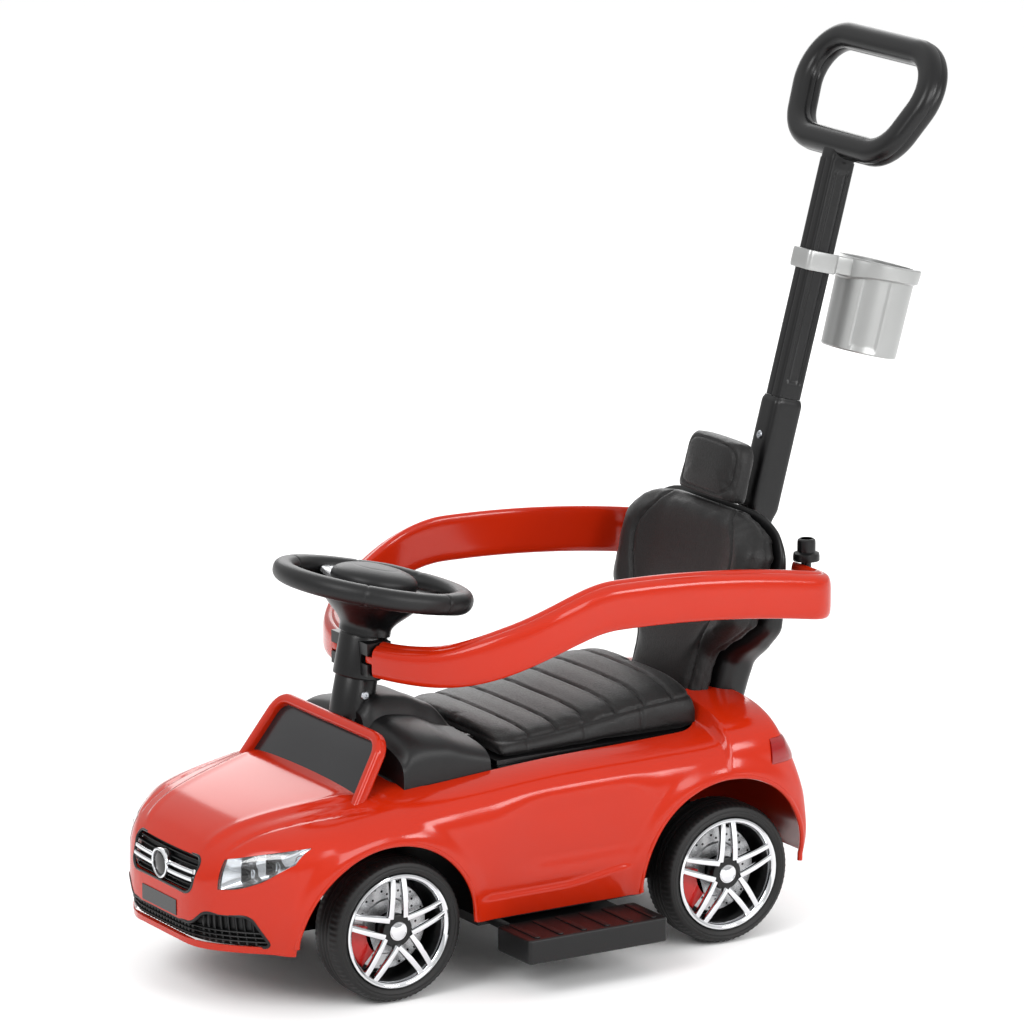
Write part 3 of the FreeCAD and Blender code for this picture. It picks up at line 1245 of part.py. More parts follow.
# Rails: two lofted halves each, from the collar round the child to the rear pin

PIN_Y = S.rear_axle_y + S.pin_y
RAIL_STEPS = 14


def smooth(low, high, value):
    """Share of the way from low to high, easing in and out."""
    share = min(max((value - low) / (high - low), 0), 1)
    return share * share * (3 - 2 * share)


def rail_path():
    """Centre line of the left rail in plan: sweep from the collar, straight side, rear corner, pin."""
    bend_y = S.front_axle_y + S.rail_bend
    sweep_x = S.rail_side - S.rail_sweep
    last = math.acos((S.tongue_end - sweep_x) / S.rail_sweep)
    points = []
    for index in range(RAIL_STEPS + 1):
        turn = last * (1 - index / RAIL_STEPS)
        points.append((sweep_x + S.rail_sweep * math.cos(turn), bend_y - S.rail_sweep * math.sin(turn)))
    corner_x = S.rail_side - S.rail_corner
    corner_y = PIN_Y - S.rail_corner
    step = (corner_y - bend_y) / RAIL_STEPS
    points += [(S.rail_side, bend_y + step * index) for index in range(1, RAIL_STEPS)]
    for turn in (0, 18, 36, 54, 72, 90):
        points.append((corner_x + S.rail_corner * math.cos(math.radians(turn)),
                       corner_y + S.rail_corner * math.sin(math.radians(turn))))
    points.append((S.pin_x - S.ear_half, PIN_Y))
    return points


def rail_half(near, far):
    """Outer or inner half of the left rail: a ruled loft along its centre line."""
    points = rail_path()
    crest_y = S.front_axle_y + S.rail_crest
    wires = []
    for index, (x, y) in enumerate(points):
        before = points[max(index - 1, 0)]
        after = points[min(index + 1, len(points) - 1)]
        run = Vector(after[0] - before[0], after[1] - before[1], 0).normalize()
        out = Vector(run.y, -run.x, 0)
        climb = smooth(S.front_axle_y + S.rail_dip, crest_y, y)
        swell = smooth(S.front_axle_y + S.rail_dip / 2, S.front_axle_y + 2 * S.rail_dip, y)
        fall = max((y - crest_y) / (PIN_Y - crest_y), 0) ** 2
        low = S.rail_front_low + (S.rail_peak_low - S.rail_front_low) * climb - S.rail_rear_drop * fall
        top = low + S.rail_front_height + (S.rail_height - S.rail_front_height) * swell
        bevel = far - math.copysign(S.rail_round, far)
        slope = S.rail_rise / S.rail_thick

        def crown(across):
            return top + slope * (S.rail_thick / 2 - across)

        corners = [(near, low), (bevel, low), (far, low + S.rail_round), (far, crown(far) - S.rail_round),
                   (bevel, crown(bevel)), (near, crown(near))]
        loop = [Vector(x, y, z) + out * across for across, z in corners]
        wires.append(Part.makePolygon(loop + loop[:1]))
    return Part.makeLoft(wires, True, True)


def rail_cuts():
    """Shoulders of the front tongue, room for the rear ear and the hole for the pin."""
    above = Part.makeBox(S.bracket_reach + S.play, LONG, LONG, Vector(0, -LONG, S.tongue_z + S.rail_tongue))
    below = Part.makeBox(S.bracket_reach + S.play, LONG, LONG, Vector(0, -LONG, S.tongue_z - LONG))
    spot = Vector(S.pin_x, PIN_Y, 0)
    sweep = Part.makeCylinder(S.ear_sweep, S.ear_thick + 2 * S.play, spot + Vector(0, 0, S.ear_z - S.play))
    hole = Part.makeCylinder(S.pin_radius + S.running, LONG, spot)
    return [above, below, sweep, hole]


for side, sign in SIDES:
    for word, way in (("outer", 1), ("inner", -1)):
        shape = rail_half(way * S.rail_seam / 2, way * S.rail_thick / 2).cut(rail_cuts())
        label = f"rail_{side}_{word}"
        node(label, feature(label, shape if sign > 0 else mirrored(shape)))

knob_z = "rail_peak_low - rail_rear_drop + rail_height + rail_rise + 2 * play"
pins = []
for side, sign in SIDES:
    pins.append(rod("pin_" + side, UPRIGHT, f"{sign} * pin_x", "rear_axle_y + pin_y", "ear_z - pin_below",
                    "pin_radius", f"{knob_z} + pin_knob_height / 2 - ear_z + pin_below"))
    pins.append(rod("knob_" + side, UPRIGHT, f"{sign} * pin_x", "rear_axle_y + pin_y", knob_z, "pin_knob",
                    "pin_knob_height"))
node("rail_pins", fuse("rail_pins", *pins))


# Backrest: shell, pad and headrest as lofts up the leaning plane

def back_rows():
    """Heights, half widths and forward reach of the sides, up the backrest."""
    rise = S.back_top - S.back_shoulder
    gain = S.back_chest_half - S.back_waist_half
    climb = S.back_chest - S.back_waist
    rows = [(0, S.back_base_half, 0), (S.back_waist, S.back_waist_half, 0),
            (S.back_waist + 0.55 * climb, S.back_waist_half + 0.62 * gain, 0.6),
            (S.back_chest, S.back_chest_half, 1), (S.back_shoulder, S.back_chest_half, 0.9)]
    for turn in (35, 62, 90):
        lift = math.sin(math.radians(turn))
        narrow = 1 - math.cos(math.radians(turn))
        rows.append((S.back_shoulder + rise * lift,
                     S.back_chest_half - (S.back_chest_half - S.back_top_half) * narrow,
                     0.9 - 0.7 * narrow))
    return rows


def slab_section(z, half, front, back, crown):
    """Section of a pad lying in its plane: flat back, round sides and a crowned front."""
    corner = (back - front) * 0.3
    slant = corner * (1 - math.sqrt(0.5))
    right = [Vector(half, back, z), Vector(half, front + corner, z),
             Vector(half - slant, front + slant, z), Vector(half - corner, front, z)]
    left = [Vector(-point.x, point.y, point.z) for point in right]
    edges = [Part.makeLine(right[0], right[1]), Part.Arc(right[1], right[2], right[3]).toShape(),
             Part.Arc(right[3], Vector(0, front - crown, z), left[3]).toShape(),
             Part.Arc(left[3], left[2], left[1]).toShape(), Part.makeLine(left[1], left[0]),
             Part.makeLine(left[0], right[0])]
    return Part.Wire(edges)


def shell_section(z, half, front, back):
    """Section of the hard shell: flat front and round back corners."""
    corner = (back - front) * 0.5
    slant = corner * (1 - math.sqrt(0.5))
    right = [Vector(half, front, z), Vector(half, back - corner, z), Vector(half - slant, back - slant, z),
             Vector(half - corner, back, z)]
    left = [Vector(-point.x, point.y, point.z) for point in right]
    edges = [Part.makeLine(right[0], right[1]), Part.Arc(right[1], right[2], right[3]).toShape(),
             Part.makeLine(right[3], left[3]), Part.Arc(left[3], left[2], left[1]).toShape(),
             Part.makeLine(left[1], left[0]), Part.makeLine(left[0], right[0])]
    return Part.Wire(edges)


def backrest_pad():
    """Upholstered pad: crowned at the waist, with wings that reach forward at the chest."""
    wires = []
    for z, half, wing in back_rows():
        front = S.pad_crown - S.pad_wing * wing
        wires.append(slab_section(z, half, front, S.pad_thick,
                                  S.pad_crown * (1 - wing) - S.pad_wing * wing))
    return Part.makeLoft(wires, True, True)


def backrest_shell():
    """Hard shell behind the pad with an ear on each side for the rail pins."""
    rows = [(S.shell_foot, S.back_base_half, 0)] + back_rows()
    wires = []
    for z, half, wing in rows:
        share = max(z - S.back_waist, 0) / (S.back_top - S.back_waist)
        back = S.shell_base_depth + (S.shell_top_depth - S.shell_base_depth) * share
        wires.append(shell_section(z, half, S.pad_thick + S.play, max(back, S.pad_thick + 3 * S.play)))
    shell = placed(Part.makeLoft(wires, True, True), BACK)
    for side, sign in SIDES:
        spot = Vector(sign * S.pin_x, PIN_Y, S.ear_z)
        root = Vector(sign * S.back_waist_half, PIN_Y - S.shell_base_depth, S.ear_z)
        run = (spot - root).normalize()
        across = Vector(-run.y, run.x, 0) * S.ear_half
        bar = prism([root + across, spot + across, spot - across, root - across], Vector(0, 0, S.ear_thick))
        end = Part.makeCylinder(S.ear_half, S.ear_thick, spot)
        hole = Part.makeCylinder(S.pin_radius, S.ear_thick, spot)
        front = placed(Part.makeBox(LONG, LONG, LONG, Vector(-LONG / 2, S.pad_thick + S.play - LONG,
                                                             -LONG / 2)), BACK)
        shell = shell.fuse(bar.fuse(end).cut([hole, front]))
    return shell.cut(placed(socket_block(S.play), POLE))


def headrest():
    """Padded headrest on top of the backrest."""
    rows = [(0, 0.62), (0.1, 0.86), (0.35, 1), (0.7, 0.97), (0.9, 0.8), (1, 0.55)]
    wires = []
    depth = S.head_back - S.head_front
    for share, width in rows:
        middle = (S.head_front + S.head_back) / 2
        reach = depth / 2 * (0.55 + 0.45 * width)
        wires.append(slab_section(S.back_top + S.play + share * S.head_height, S.head_half * width,
                                  middle - reach + S.pad_crown * width, middle + reach,
                                  S.pad_crown * width))
    return Part.makeLoft(wires, True, True)


node("backrest_pad", feature("backrest_pad", backrest_pad(), BACK))
node("backrest_shell", feature("backrest_shell", backrest_shell()))
node("headrest", feature("headrest", headrest(), BACK))


# Push handle: socket, two half shells and the lock screw, in the frame of the leaning pole

def pole_block(low, high, front, back, grow=0):
    """Length of the pole between two heights and two depths."""
    half = S.pole_half + grow
    return Part.makeBox(2 * half, back - front, high - low, Vector(-half, front, low))


def screw_holes(radius):
    """Hole for the lock screw from front to back."""
    return Part.makeCylinder(radius, LONG, Vector(0, -LONG / 2, S.screw_at), Vector(0, 1, 0))


def pole_socket():
    """Sleeve that holds the pole, on a hollow neck sunk in the rear deck."""
    depth = S.pole_depth + S.socket_wall
    sleeve = pole_block(S.socket_low, S.socket_top, -depth, depth, S.socket_wall)
    inside = pole_block(S.pole_end - S.play, LONG, -S.pole_depth - S.play, S.pole_depth + S.play, S.play)
    core = pole_block(-LONG, S.pole_end - 2 * S.socket_wall, -S.pole_depth + S.socket_wall,
                      S.pole_depth - S.socket_wall, -S.socket_wall)
    return socket_block(0).fuse(sleeve).cut([inside, core, screw_holes(S.screw_radius)])


def loop_path():
    """Centre line of the loop: a trapezium with round corners, from the middle of its lower bar."""
    corners = [Vector(S.loop_low_half, 0, 0), Vector(S.loop_top_half, 0, S.loop_height),
               Vector(-S.loop_top_half, 0, S.loop_height), Vector(-S.loop_low_half, 0, 0)]
    start = Vector()
    edges = []
    here = start
    for index, corner in enumerate(corners):
        before = (corners[index - 1] if index else start) - corner
        after = (corners[index + 1] if index < 3 else start) - corner
        before.normalize()
        after.normalize()
        half_turn = before.getAngle(after) / 2
        reach = S.loop_corner / math.tan(half_turn)
        bisector = (before + after).normalize()
        middle = corner + bisector * (S.loop_corner / math.sin(half_turn) - S.loop_corner)
        edges.append(Part.makeLine(here, corner + before * reach))
        edges.append(Part.Arc(corner + before * reach, middle, corner + after * reach).toShape())
        here = corner + after * reach
    edges.append(Part.makeLine(here, start))
    return Part.Wire(edges)


def loop_half(back):
    """Front or back half of the loop: half a round bar swept along its centre line."""
    way = S.loop_radius if back else -S.loop_radius
    slant = way * math.sqrt(0.5)
    lift = S.loop_radius * math.sqrt(0.5)
    foot, head, crest = Vector(0, 0, -S.loop_radius), Vector(0, 0, S.loop_radius), Vector(0, way, 0)
    section = Part.Wire([Part.Arc(foot, Vector(0, slant, -lift), crest).toShape(),
                         Part.Arc(crest, Vector(0, slant, lift), head).toShape(),
                         Part.makeLine(head, foot)])
    ring = loop_path().makePipe(Part.Face(section))
    return placed(ring, Placement(Vector(0, 0, S.pole_top), Rotation(Vector(1, 0, 0), -S.loop_lean)))


def side_panels():
    """Shallow panels let into both sides of the pole."""
    low = S.socket_top + S.pole_half
    high = S.pole_top - 2 * S.loop_radius
    return [Part.makeBox(S.pole_half, S.pole_depth, high - low, Vector(x, -S.pole_depth * 0.6, low))
            for x in (S.pole_half - S.panel_depth, S.panel_depth - 2 * S.pole_half)]


def handle_half(back):
    """Half of the pole and its loop."""
    depth = (0, S.pole_depth) if back else (-S.pole_depth, 0)
    pole = pole_block(S.pole_end, S.pole_top, *depth).cut(side_panels() + [screw_holes(S.screw_radius)])
    return pole.cut(loop_half(not back)).fuse(loop_half(back))


def lock_screw():
    """Screw through the socket and the pole, with its head at the front."""
    depth = S.pole_depth + S.socket_wall
    shank = Part.makeCylinder(S.screw_radius, 2 * depth, Vector(0, -depth, S.screw_at), Vector(0, 1, 0))
    head = Part.makeCylinder(S.screw_head, S.socket_wall / 2,
                             Vector(0, -depth - S.socket_wall / 2, S.screw_at),
                             Vector(0, 1, 0))
    return shank.fuse(head)


def cup_holder():
    """Cup behind the pole with its rim and the clip that grips the pole."""
    centre = Vector(0, S.cup_set, 0)
    outer = S.cup_radius + S.cup_wall
    top = S.cup_low + S.cup_wall + S.cup_depth
    cup = Part.makeCylinder(outer, top - S.cup_low, centre + Vector(0, 0, S.cup_low))
    rim = Part.makeCylinder(outer + S.cup_rim, S.cup_rim_height,
                            centre + Vector(0, 0, top - S.cup_rim_height))
    grip = pole_block(top - S.clip_height, top, -S.pole_depth - S.clip_wall, S.pole_depth + S.clip_wall,
                      S.clip_wall)
    bridge = Part.makeBox(2 * S.pole_half, S.cup_set, S.cup_rim_height,
                          Vector(-S.pole_half, 0, top - S.cup_rim_height))
    inside = Part.makeCylinder(S.cup_radius, LONG, centre + Vector(0, 0, S.cup_low + S.cup_wall))
    pole = pole_block(-LONG, LONG, -S.pole_depth, S.pole_depth)
    mouth = Part.makeBox(2 * S.clip_mouth, LONG, LONG, Vector(-S.clip_mouth, -LONG, 0))
    return cup.fuse([rim, grip, bridge]).cut([inside, pole, mouth])


node("pole_socket", feature("pole_socket", pole_socket(), POLE))
node("handle_front_shell", feature("handle_front_shell", handle_half(False), POLE))
node("handle_back_shell", feature("handle_back_shell", handle_half(True), POLE))
node("lock_screw", feature("lock_screw", lock_screw(), POLE))
node("cup_holder", feature("cup_holder", cup_holder(), POLE))


# Check every object, then write one file for each piece

doc.recompute()
faults = [item.Name for item in doc.Objects if {"Invalid", "Error"} & set(item.State)]
for item in nodes:
    if item.Shape.isNull() or not item.Shape.isValid() or not item.Shape.Solids:
        faults.append(item.Label)
if faults:
    raise RuntimeError("failed objects: " + ", ".join(faults))
os.makedirs("parts", exist_ok=True)
for item in nodes:
    item.Shape.exportStep(f"parts/{item.Label}.step")
print(len(nodes), "pieces written")
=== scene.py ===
# %% [markdown]
# # A push car, dressed in Blender
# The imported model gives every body, joint and size of the car. This lesson lays the looks over it: smooth
# moulded shells, plated trim, sewn cushions and finishes, each worked out with numpy in millimetres, as on a
# drawing, and turned to metres once, where its mesh is made.

# %% Frame
import json
import math

import bmesh
import bpy
import numpy as np
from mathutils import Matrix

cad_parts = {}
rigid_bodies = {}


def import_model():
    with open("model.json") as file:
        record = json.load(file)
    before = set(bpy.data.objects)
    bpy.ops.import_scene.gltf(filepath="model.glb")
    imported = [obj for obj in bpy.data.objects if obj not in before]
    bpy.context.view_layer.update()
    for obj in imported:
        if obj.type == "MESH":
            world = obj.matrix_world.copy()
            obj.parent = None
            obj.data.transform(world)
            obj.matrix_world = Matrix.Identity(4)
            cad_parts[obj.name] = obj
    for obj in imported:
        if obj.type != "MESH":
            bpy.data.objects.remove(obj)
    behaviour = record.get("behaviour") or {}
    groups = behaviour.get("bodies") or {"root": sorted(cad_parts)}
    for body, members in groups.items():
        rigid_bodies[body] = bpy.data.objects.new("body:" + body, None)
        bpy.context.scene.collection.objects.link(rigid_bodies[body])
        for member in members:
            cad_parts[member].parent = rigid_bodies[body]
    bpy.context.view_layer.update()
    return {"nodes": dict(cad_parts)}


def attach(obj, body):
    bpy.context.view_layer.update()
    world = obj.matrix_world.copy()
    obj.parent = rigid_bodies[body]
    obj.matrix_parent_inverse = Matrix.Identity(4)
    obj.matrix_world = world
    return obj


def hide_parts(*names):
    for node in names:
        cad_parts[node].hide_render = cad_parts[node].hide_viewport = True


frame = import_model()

MM, WELD = 0.001, 1e-6
CREASE = 35
SIDES = (("left", 1), ("right", -1))
ENDS = (("front", -250.0), ("rear", 120.0))
scene = bpy.context.scene

# %% [markdown]
# ## Surfaces from arrays
# Nearly every piece is a grid of points: rows along the piece, columns round it. One function joins the points
# of such a grid with quads, one carries a section along a path, one turns a profile round an axis and one gives
# a flat outline rounded rims.

# %% Points and outlines


def circle(count):
    """Even bearings round a full turn."""
    return 2 * math.pi * np.arange(count) / count


def bearing_gap(turn, spot):
    """Angle from a bearing to others, within half a turn either way."""
    return (turn - spot + math.pi) % (2 * math.pi) - math.pi


def points_of(*axes):
    """Coordinates stacked into points; short ones are spread over long ones."""
    return np.stack(np.broadcast_arrays(*axes), axis=-1)


def unit(vectors):
    """Vectors scaled to length 1."""
    return vectors / np.linalg.norm(vectors, axis=-1, keepdims=True)


def squared_circle(turn, power):
    """Both coordinates, at given bearings, of the superellipse |u|^p + |v|^p = 1."""
    flat, tall = np.cos(turn), np.sin(turn)
    reach = (np.abs(flat) ** power + np.abs(tall) ** power) ** (-1 / power)
    return reach * flat, reach * tall


def oval(half_width, half_height, power, count):
    """Closed superellipse |x/a|^p + |y/b|^p = 1, sampled at even bearings."""
    u, v = squared_circle(circle(count), power)
    return points_of(half_width * u, half_height * v)


def rounded(corners, reach, count=8):
    """Closed outline of a polygon whose corners are arcs, each leaving its two sides at a reach from the corner.

    A rational quadratic whose middle weight is the sine of half the corner's angle runs along a true circle.
    """
    corners = np.asarray(corners, float)
    before = unit(np.roll(corners, 1, axis=0) - corners)
    after = unit(np.roll(corners, -1, axis=0) - corners)
    weight = np.sqrt((1 - np.sum(before * after, axis=1)) / 2)[:, None, None]
    start, stop = corners + before * reach, corners + after * reach
    t = np.linspace(0, 1, count)[None, :, None]
    middle = 2 * weight * t * (1 - t)
    curve = (1 - t) ** 2 * start[:, None] + middle * corners[:, None] + t ** 2 * stop[:, None]
    return (curve / ((1 - t) ** 2 + middle + t ** 2)).reshape(-1, 2)


def evenly(line, count, closed=False):
    """Line sampled again at even steps of its own length."""
    if closed:
        line = np.vstack([line, line[:1]])
    length = np.concatenate([[0], np.cumsum(np.linalg.norm(np.diff(line, axis=0), axis=1))])
    even = np.linspace(0, length[-1], count, endpoint=not closed)
    return points_of(*(np.interp(even, length, axis) for axis in line.T))


def bell(distance, width):
    """Smooth bump of height 1 over a distance."""
    return np.exp(-(distance / width) ** 2)


def ramp(value, start, stop):
    """Smooth step from 0 at start to 1 at stop."""
    t = np.clip((value - start) / (stop - start), 0, 1)
    return t * t * (3 - 2 * t)


def flowing(x, knots, values):
    """Monotone cubic through knots: the slope at a knot is the weighted harmonic mean of its two chords."""
    knots, values = np.asarray(knots, float), np.asarray(values, float)
    gap = np.diff(knots)
    chord = np.diff(values) / gap
    near, far = 2 * gap[1:] + gap[:-1], gap[1:] + 2 * gap[:-1]
    with np.errstate(divide="ignore", invalid="ignore"):
        mean = (near + far) / (near / chord[:-1] + far / chord[1:])
    slope = np.concatenate([chord[:1], np.where(chord[:-1] * chord[1:] > 0, mean, 0.0), chord[-1:]])
    at = np.clip(np.searchsorted(knots, x) - 1, 0, len(gap) - 1)
    t = np.clip((x - knots[at]) / gap[at], 0, 1)
    return ((1 + 2 * t) * (1 - t) ** 2 * values[at] + t * (1 - t) ** 2 * gap[at] * slope[at]
            + t ** 2 * (3 - 2 * t) * values[at + 1] - t ** 2 * (1 - t) * gap[at] * slope[at + 1])


# %% Sweeps, turned profiles and plates


def sweep(path, section, up=(0, 0, 1), looped=False):
    """Point = path + across * side + lift * top, where side = run x up and top = side x run."""
    run = np.roll(path, -1, axis=0) - np.roll(path, 1, axis=0) if looped else np.gradient(path, axis=0)
    run = unit(run)
    side = unit(np.cross(run, up))
    top = np.cross(side, run)
    return path[:, None] + section[..., :1] * side[:, None] + section[..., 1:] * top[:, None]


def turned(profile, count):
    """Profile of (radius, height) turned round local Z: (r cos t, r sin t, h)."""
    radius, height = np.asarray(profile, float).T[..., None]
    return points_of(radius * np.cos(circle(count)), radius * np.sin(circle(count)), height)


def plate(outline, low, high, rim, steps=4):
    """Slab over an outline: its rims are drawn in by rim (1 - cos t) while they rise by rim (1 - sin t)."""
    outline = np.asarray(outline, float)
    run = unit(np.roll(outline, -1, axis=0) - np.roll(outline, 1, axis=0))
    x, y = outline.T
    area = np.sum(x * np.roll(y, -1) - y * np.roll(x, -1))
    inward = points_of(-run[:, 1], run[:, 0]) * math.copysign(1, area)
    turn = np.linspace(0, math.pi / 2, steps)
    inset = np.concatenate([rim * (1 - np.sin(turn)), rim * (1 - np.cos(turn))])
    level = np.concatenate([low + rim * (1 - np.cos(turn)), high - rim * (1 - np.sin(turn))])
    flat = outline + inset[:, None, None] * inward
    return points_of(flat[..., 0], flat[..., 1], level[:, None])


def closed_sheet(front, rear):
    """Closed sheet between two grids of the same shape."""
    return np.concatenate([front, rear[:, ::-1]], axis=1)


def facing(points):
    """Plate drawn in the front view (x, z) and carried along Y."""
    return points[..., [0, 2, 1]]


def ahead(points):
    """Piece turned round Z, laid down so that its top looks ahead."""
    return facing(points) * (1, -1, 1)


def sideways(points):
    """Plate drawn in the side view (y, z), or piece turned round Z, carried along X."""
    return points[..., [2, 0, 1]]


def mirrored(points):
    """Points on the other side of the car."""
    return points * (-1, 1, 1)


def leaning(y, z, degrees):
    """Maps out of and into a local frame at (0, y, z) whose Z leans back towards +Y by an angle."""
    s, c = math.sin(math.radians(degrees)), math.cos(math.radians(degrees))
    turn, foot = np.array([[1, 0, 0], [0, c, s], [0, -s, c]]), np.array([0, y, z])
    return (lambda points: points @ turn.T + foot), (lambda points: (points - foot) @ turn)


# %% [markdown]
# `piece` makes a mesh and says which body it rides on and which nodes it replaces.

# %% Meshes and pieces


def tube_faces(rows, cols, looped=False):
    """Quads between the neighbours of a grid of closed rows, with a cap on each end unless the rows loop as well."""
    r, c = np.meshgrid(np.arange(rows if looped else rows - 1), np.arange(cols), indexing="ij")
    up, right = (r + 1) % rows, (c + 1) % cols
    quads = points_of(r * cols + c, r * cols + right, up * cols + right, up * cols + c)
    faces = quads.reshape(-1, 4).tolist()
    if not looped:
        faces += [list(range(cols)), list(range((rows - 1) * cols, rows * cols))]
    return faces


def mesh_of(name, points, faces, weld=False):
    """Bare mesh in metres from points in millimetres, with outward faces; weld joins points that coincide."""
    mesh = bpy.data.meshes.new(name)
    mesh.from_pydata((points.reshape(-1, 3) * MM).tolist(), [], faces)
    shape = bmesh.new()
    shape.from_mesh(mesh)
    if weld:
        bmesh.ops.remove_doubles(shape, verts=shape.verts, dist=WELD)
    bmesh.ops.recalc_face_normals(shape, faces=shape.faces)
    shape.to_mesh(mesh)
    shape.free()
    return mesh


def dress(item, finish, stands_for=(), body="car", crease=CREASE):
    """Give an object its finish, smooth shading up to a crease angle, its body and replaced nodes."""
    scene.collection.objects.link(item)
    item.data.materials.clear()
    item.data.materials.append(finish)
    item.data.polygons.foreach_set("use_smooth", np.ones(len(item.data.polygons), bool))
    item.data.set_sharp_from_angle(angle=math.radians(crease))
    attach(item, body)
    if stands_for:
        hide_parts(*stands_for)
    return item


def piece(name, points, faces, finish, stands_for=(), body="car", slot=None, crease=CREASE):
    """Dressed object from points and faces."""
    mesh = mesh_of(name, points, faces, weld=True)
    return dress(bpy.data.objects.new(name, mesh), finish, stands_for, body, crease)


def tube(name, points, finish, stands_for=(), body="car", slot=None, looped=False, crease=CREASE):
    """Piece from rows of closed sections."""
    return piece(name, points, tube_faces(*points.shape[:2], looped), finish, stands_for, body, slot, crease)


def pair(name, points, finish, node):
    """Piece on the left, standing for a node that holds both sides, and its mirror image on the right."""
    tube(name + "_left", points, finish, (node,))
    tube(name + "_right", mirrored(points), finish)


def gathered(parts, looped=()):
    """Points and faces of several tubes as one mesh: the looped ones first, then those with capped ends."""
    points, faces, start = [], [], 0
    for part, closed in [(part, True) for part in looped] + [(part, False) for part in parts]:
        points.append(part.reshape(-1, 3))
        faces += [[corner + start for corner in face] for face in tube_faces(*part.shape[:2], closed)]
        start += len(points[-1])
    return np.concatenate(points), faces


def evaluated(item):
    """Object with its modifiers worked out."""
    return item.evaluated_get(bpy.context.evaluated_depsgraph_get())


# %% [markdown]
# ## Finishes
# Each finish is named for what it is made of. Colours are sRGB codes turned to linear light. A moulded plastic has
# a fine grain from its mould, so its roughness wavers and a low bump breaks up the highlights; the grain's size is
# given in millimetres, a little coarser than the real one so that it shows.

# %% Colour, nodes and moulded plastics
BUMP_DEPTH, WAVER = 0.0004, 0.15


def linear(code):
    """sRGB hex colour as linear red, green, blue and full cover."""
    value = np.array([int(code[at:at + 2], 16) for at in (1, 3, 5)]) / 255
    value = np.where(value <= 0.04045, value / 12.92, ((value + 0.055) / 1.055) ** 2.4)
    return (*value.tolist(), 1.0)


def connect(tree, node, links):
    """Set inputs of a node, each to a value or to another node's output."""
    for socket, value in links.items():
        if isinstance(value, bpy.types.NodeSocket):
            tree.links.new(value, node.inputs[socket])
        else:
            node.inputs[socket].default_value = value


def add(tree, kind, links=None, **settings):
    """Add one node with its properties set and its inputs connected."""
    node = tree.nodes.new(kind)
    for word, value in settings.items():
        setattr(node, word, value)
    connect(tree, node, links or {})
    return node


def shader_of(name, **sockets):
    """New material, its tree and its surface shader, with the shader's sockets set by name."""
    finish = bpy.data.materials.new(name)
    finish.use_nodes = True
    shader = finish.node_tree.nodes["Principled BSDF"]
    connect(finish.node_tree, shader, {socket.replace("_", " "): value for socket, value in sockets.items()})
    return finish, finish.node_tree, shader


def emboss(tree, shader, height, strength, depth=BUMP_DEPTH):
    """Bump of the shader's normal by a height."""
    lift = add(tree, "ShaderNodeBump", {"Height": height, "Strength": strength, "Distance": depth})
    connect(tree, shader, {"Normal": lift.outputs["Normal"]})


def moulded(name, code, deep, rough, grain_mm, bump, **sockets):
    """Moulded or coated surface: colour drifts between two codes, roughness wavers, grain stands in the bump."""
    finish, tree, shader = shader_of(name, **sockets)
    place = add(tree, "ShaderNodeTexCoord").outputs["Object"]
    drift = add(tree, "ShaderNodeTexNoise", {"Vector": place, "Scale": 9.0, "Detail": 3.0})
    tone = add(tree, "ShaderNodeMix", {"Factor": drift.outputs["Fac"]}, data_type="RGBA")
    both = [socket for socket in tone.inputs if socket.type == "RGBA"]
    both[0].default_value, both[1].default_value = linear(code), linear(deep)
    colour = [socket for socket in tone.outputs if socket.type == "RGBA"][0]
    noise = {"Vector": place, "Scale": 1000 / grain_mm, "Detail": 2.0}
    grain = add(tree, "ShaderNodeTexNoise", noise).outputs["Fac"]
    span = {"Value": grain, "To Min": rough * (1 - WAVER), "To Max": rough * (1 + WAVER)}
    sheen = add(tree, "ShaderNodeMapRange", span).outputs["Result"]
    connect(tree, shader, {"Base Color": colour, "Roughness": sheen})
    emboss(tree, shader, grain, bump)
    return finish


# Gloss ABS, coloured through, with a slightly wavy skin
red_abs = moulded("red_gloss_abs", "#b52509", "#ab2108", 0.14, 6.0, 0.03, Specular_IOR_Level=0.32)
grey_abs = moulded("dark_grey_gloss_abs", "#202022", "#1b1b1d", 0.2, 5.0, 0.03, Specular_IOR_Level=0.4)
# Polypropylene with an eroded mould grain: black, with broad soft highlights
black_pp = moulded("black_grained_polypropylene", "#0e0e0f", "#0a0a0b", 0.42, 0.9, 0.25, Specular_IOR_Level=0.35)
satin_pp = moulded("black_satin_polypropylene", "#0b0b0c", "#080809", 0.3, 2.5, 0.08, Specular_IOR_Level=0.35)
gloss_black = moulded("black_gloss_abs", "#0e0e0f", "#0b0b0c", 0.14, 5.0, 0.03, IOR=1.52)
# Hard polyethylene tyre, moulded with a dull skin
tyre_pe = moulded("black_tyre_polyethylene", "#121111", "#0d0c0c", 0.5, 1.4, 0.3, Specular_IOR_Level=0.35)
# Silver lacquer on ABS: aluminium flakes under clear lacquer
silver_lacquer = moulded("silver_lacquered_abs", "#b9babb", "#a9aaac", 0.28, 0.8, 0.06, Metallic=0.85)
cup_lacquer = moulded("pearl_grey_lacquered_abs", "#a9aaa9", "#9c9d9c", 0.3, 0.8, 0.05, Metallic=0.55)
# Vacuum chrome on ABS: mirror bright
chrome = moulded("vacuum_chrome_on_abs", "#e3e4e6", "#d6d8db", 0.07, 8.0, 0.02, Metallic=1.0)
caliper_red = moulded("red_lacquered_caliper", "#c1150f", "#a9110c", 0.25, 3.0, 0.05, IOR=1.52)
zinc = moulded("bright_zinc_plated_steel", "#b8bbc0", "#a2a5ab", 0.3, 1.5, 0.1, Metallic=1.0)

# %% Clear and red polycarbonate


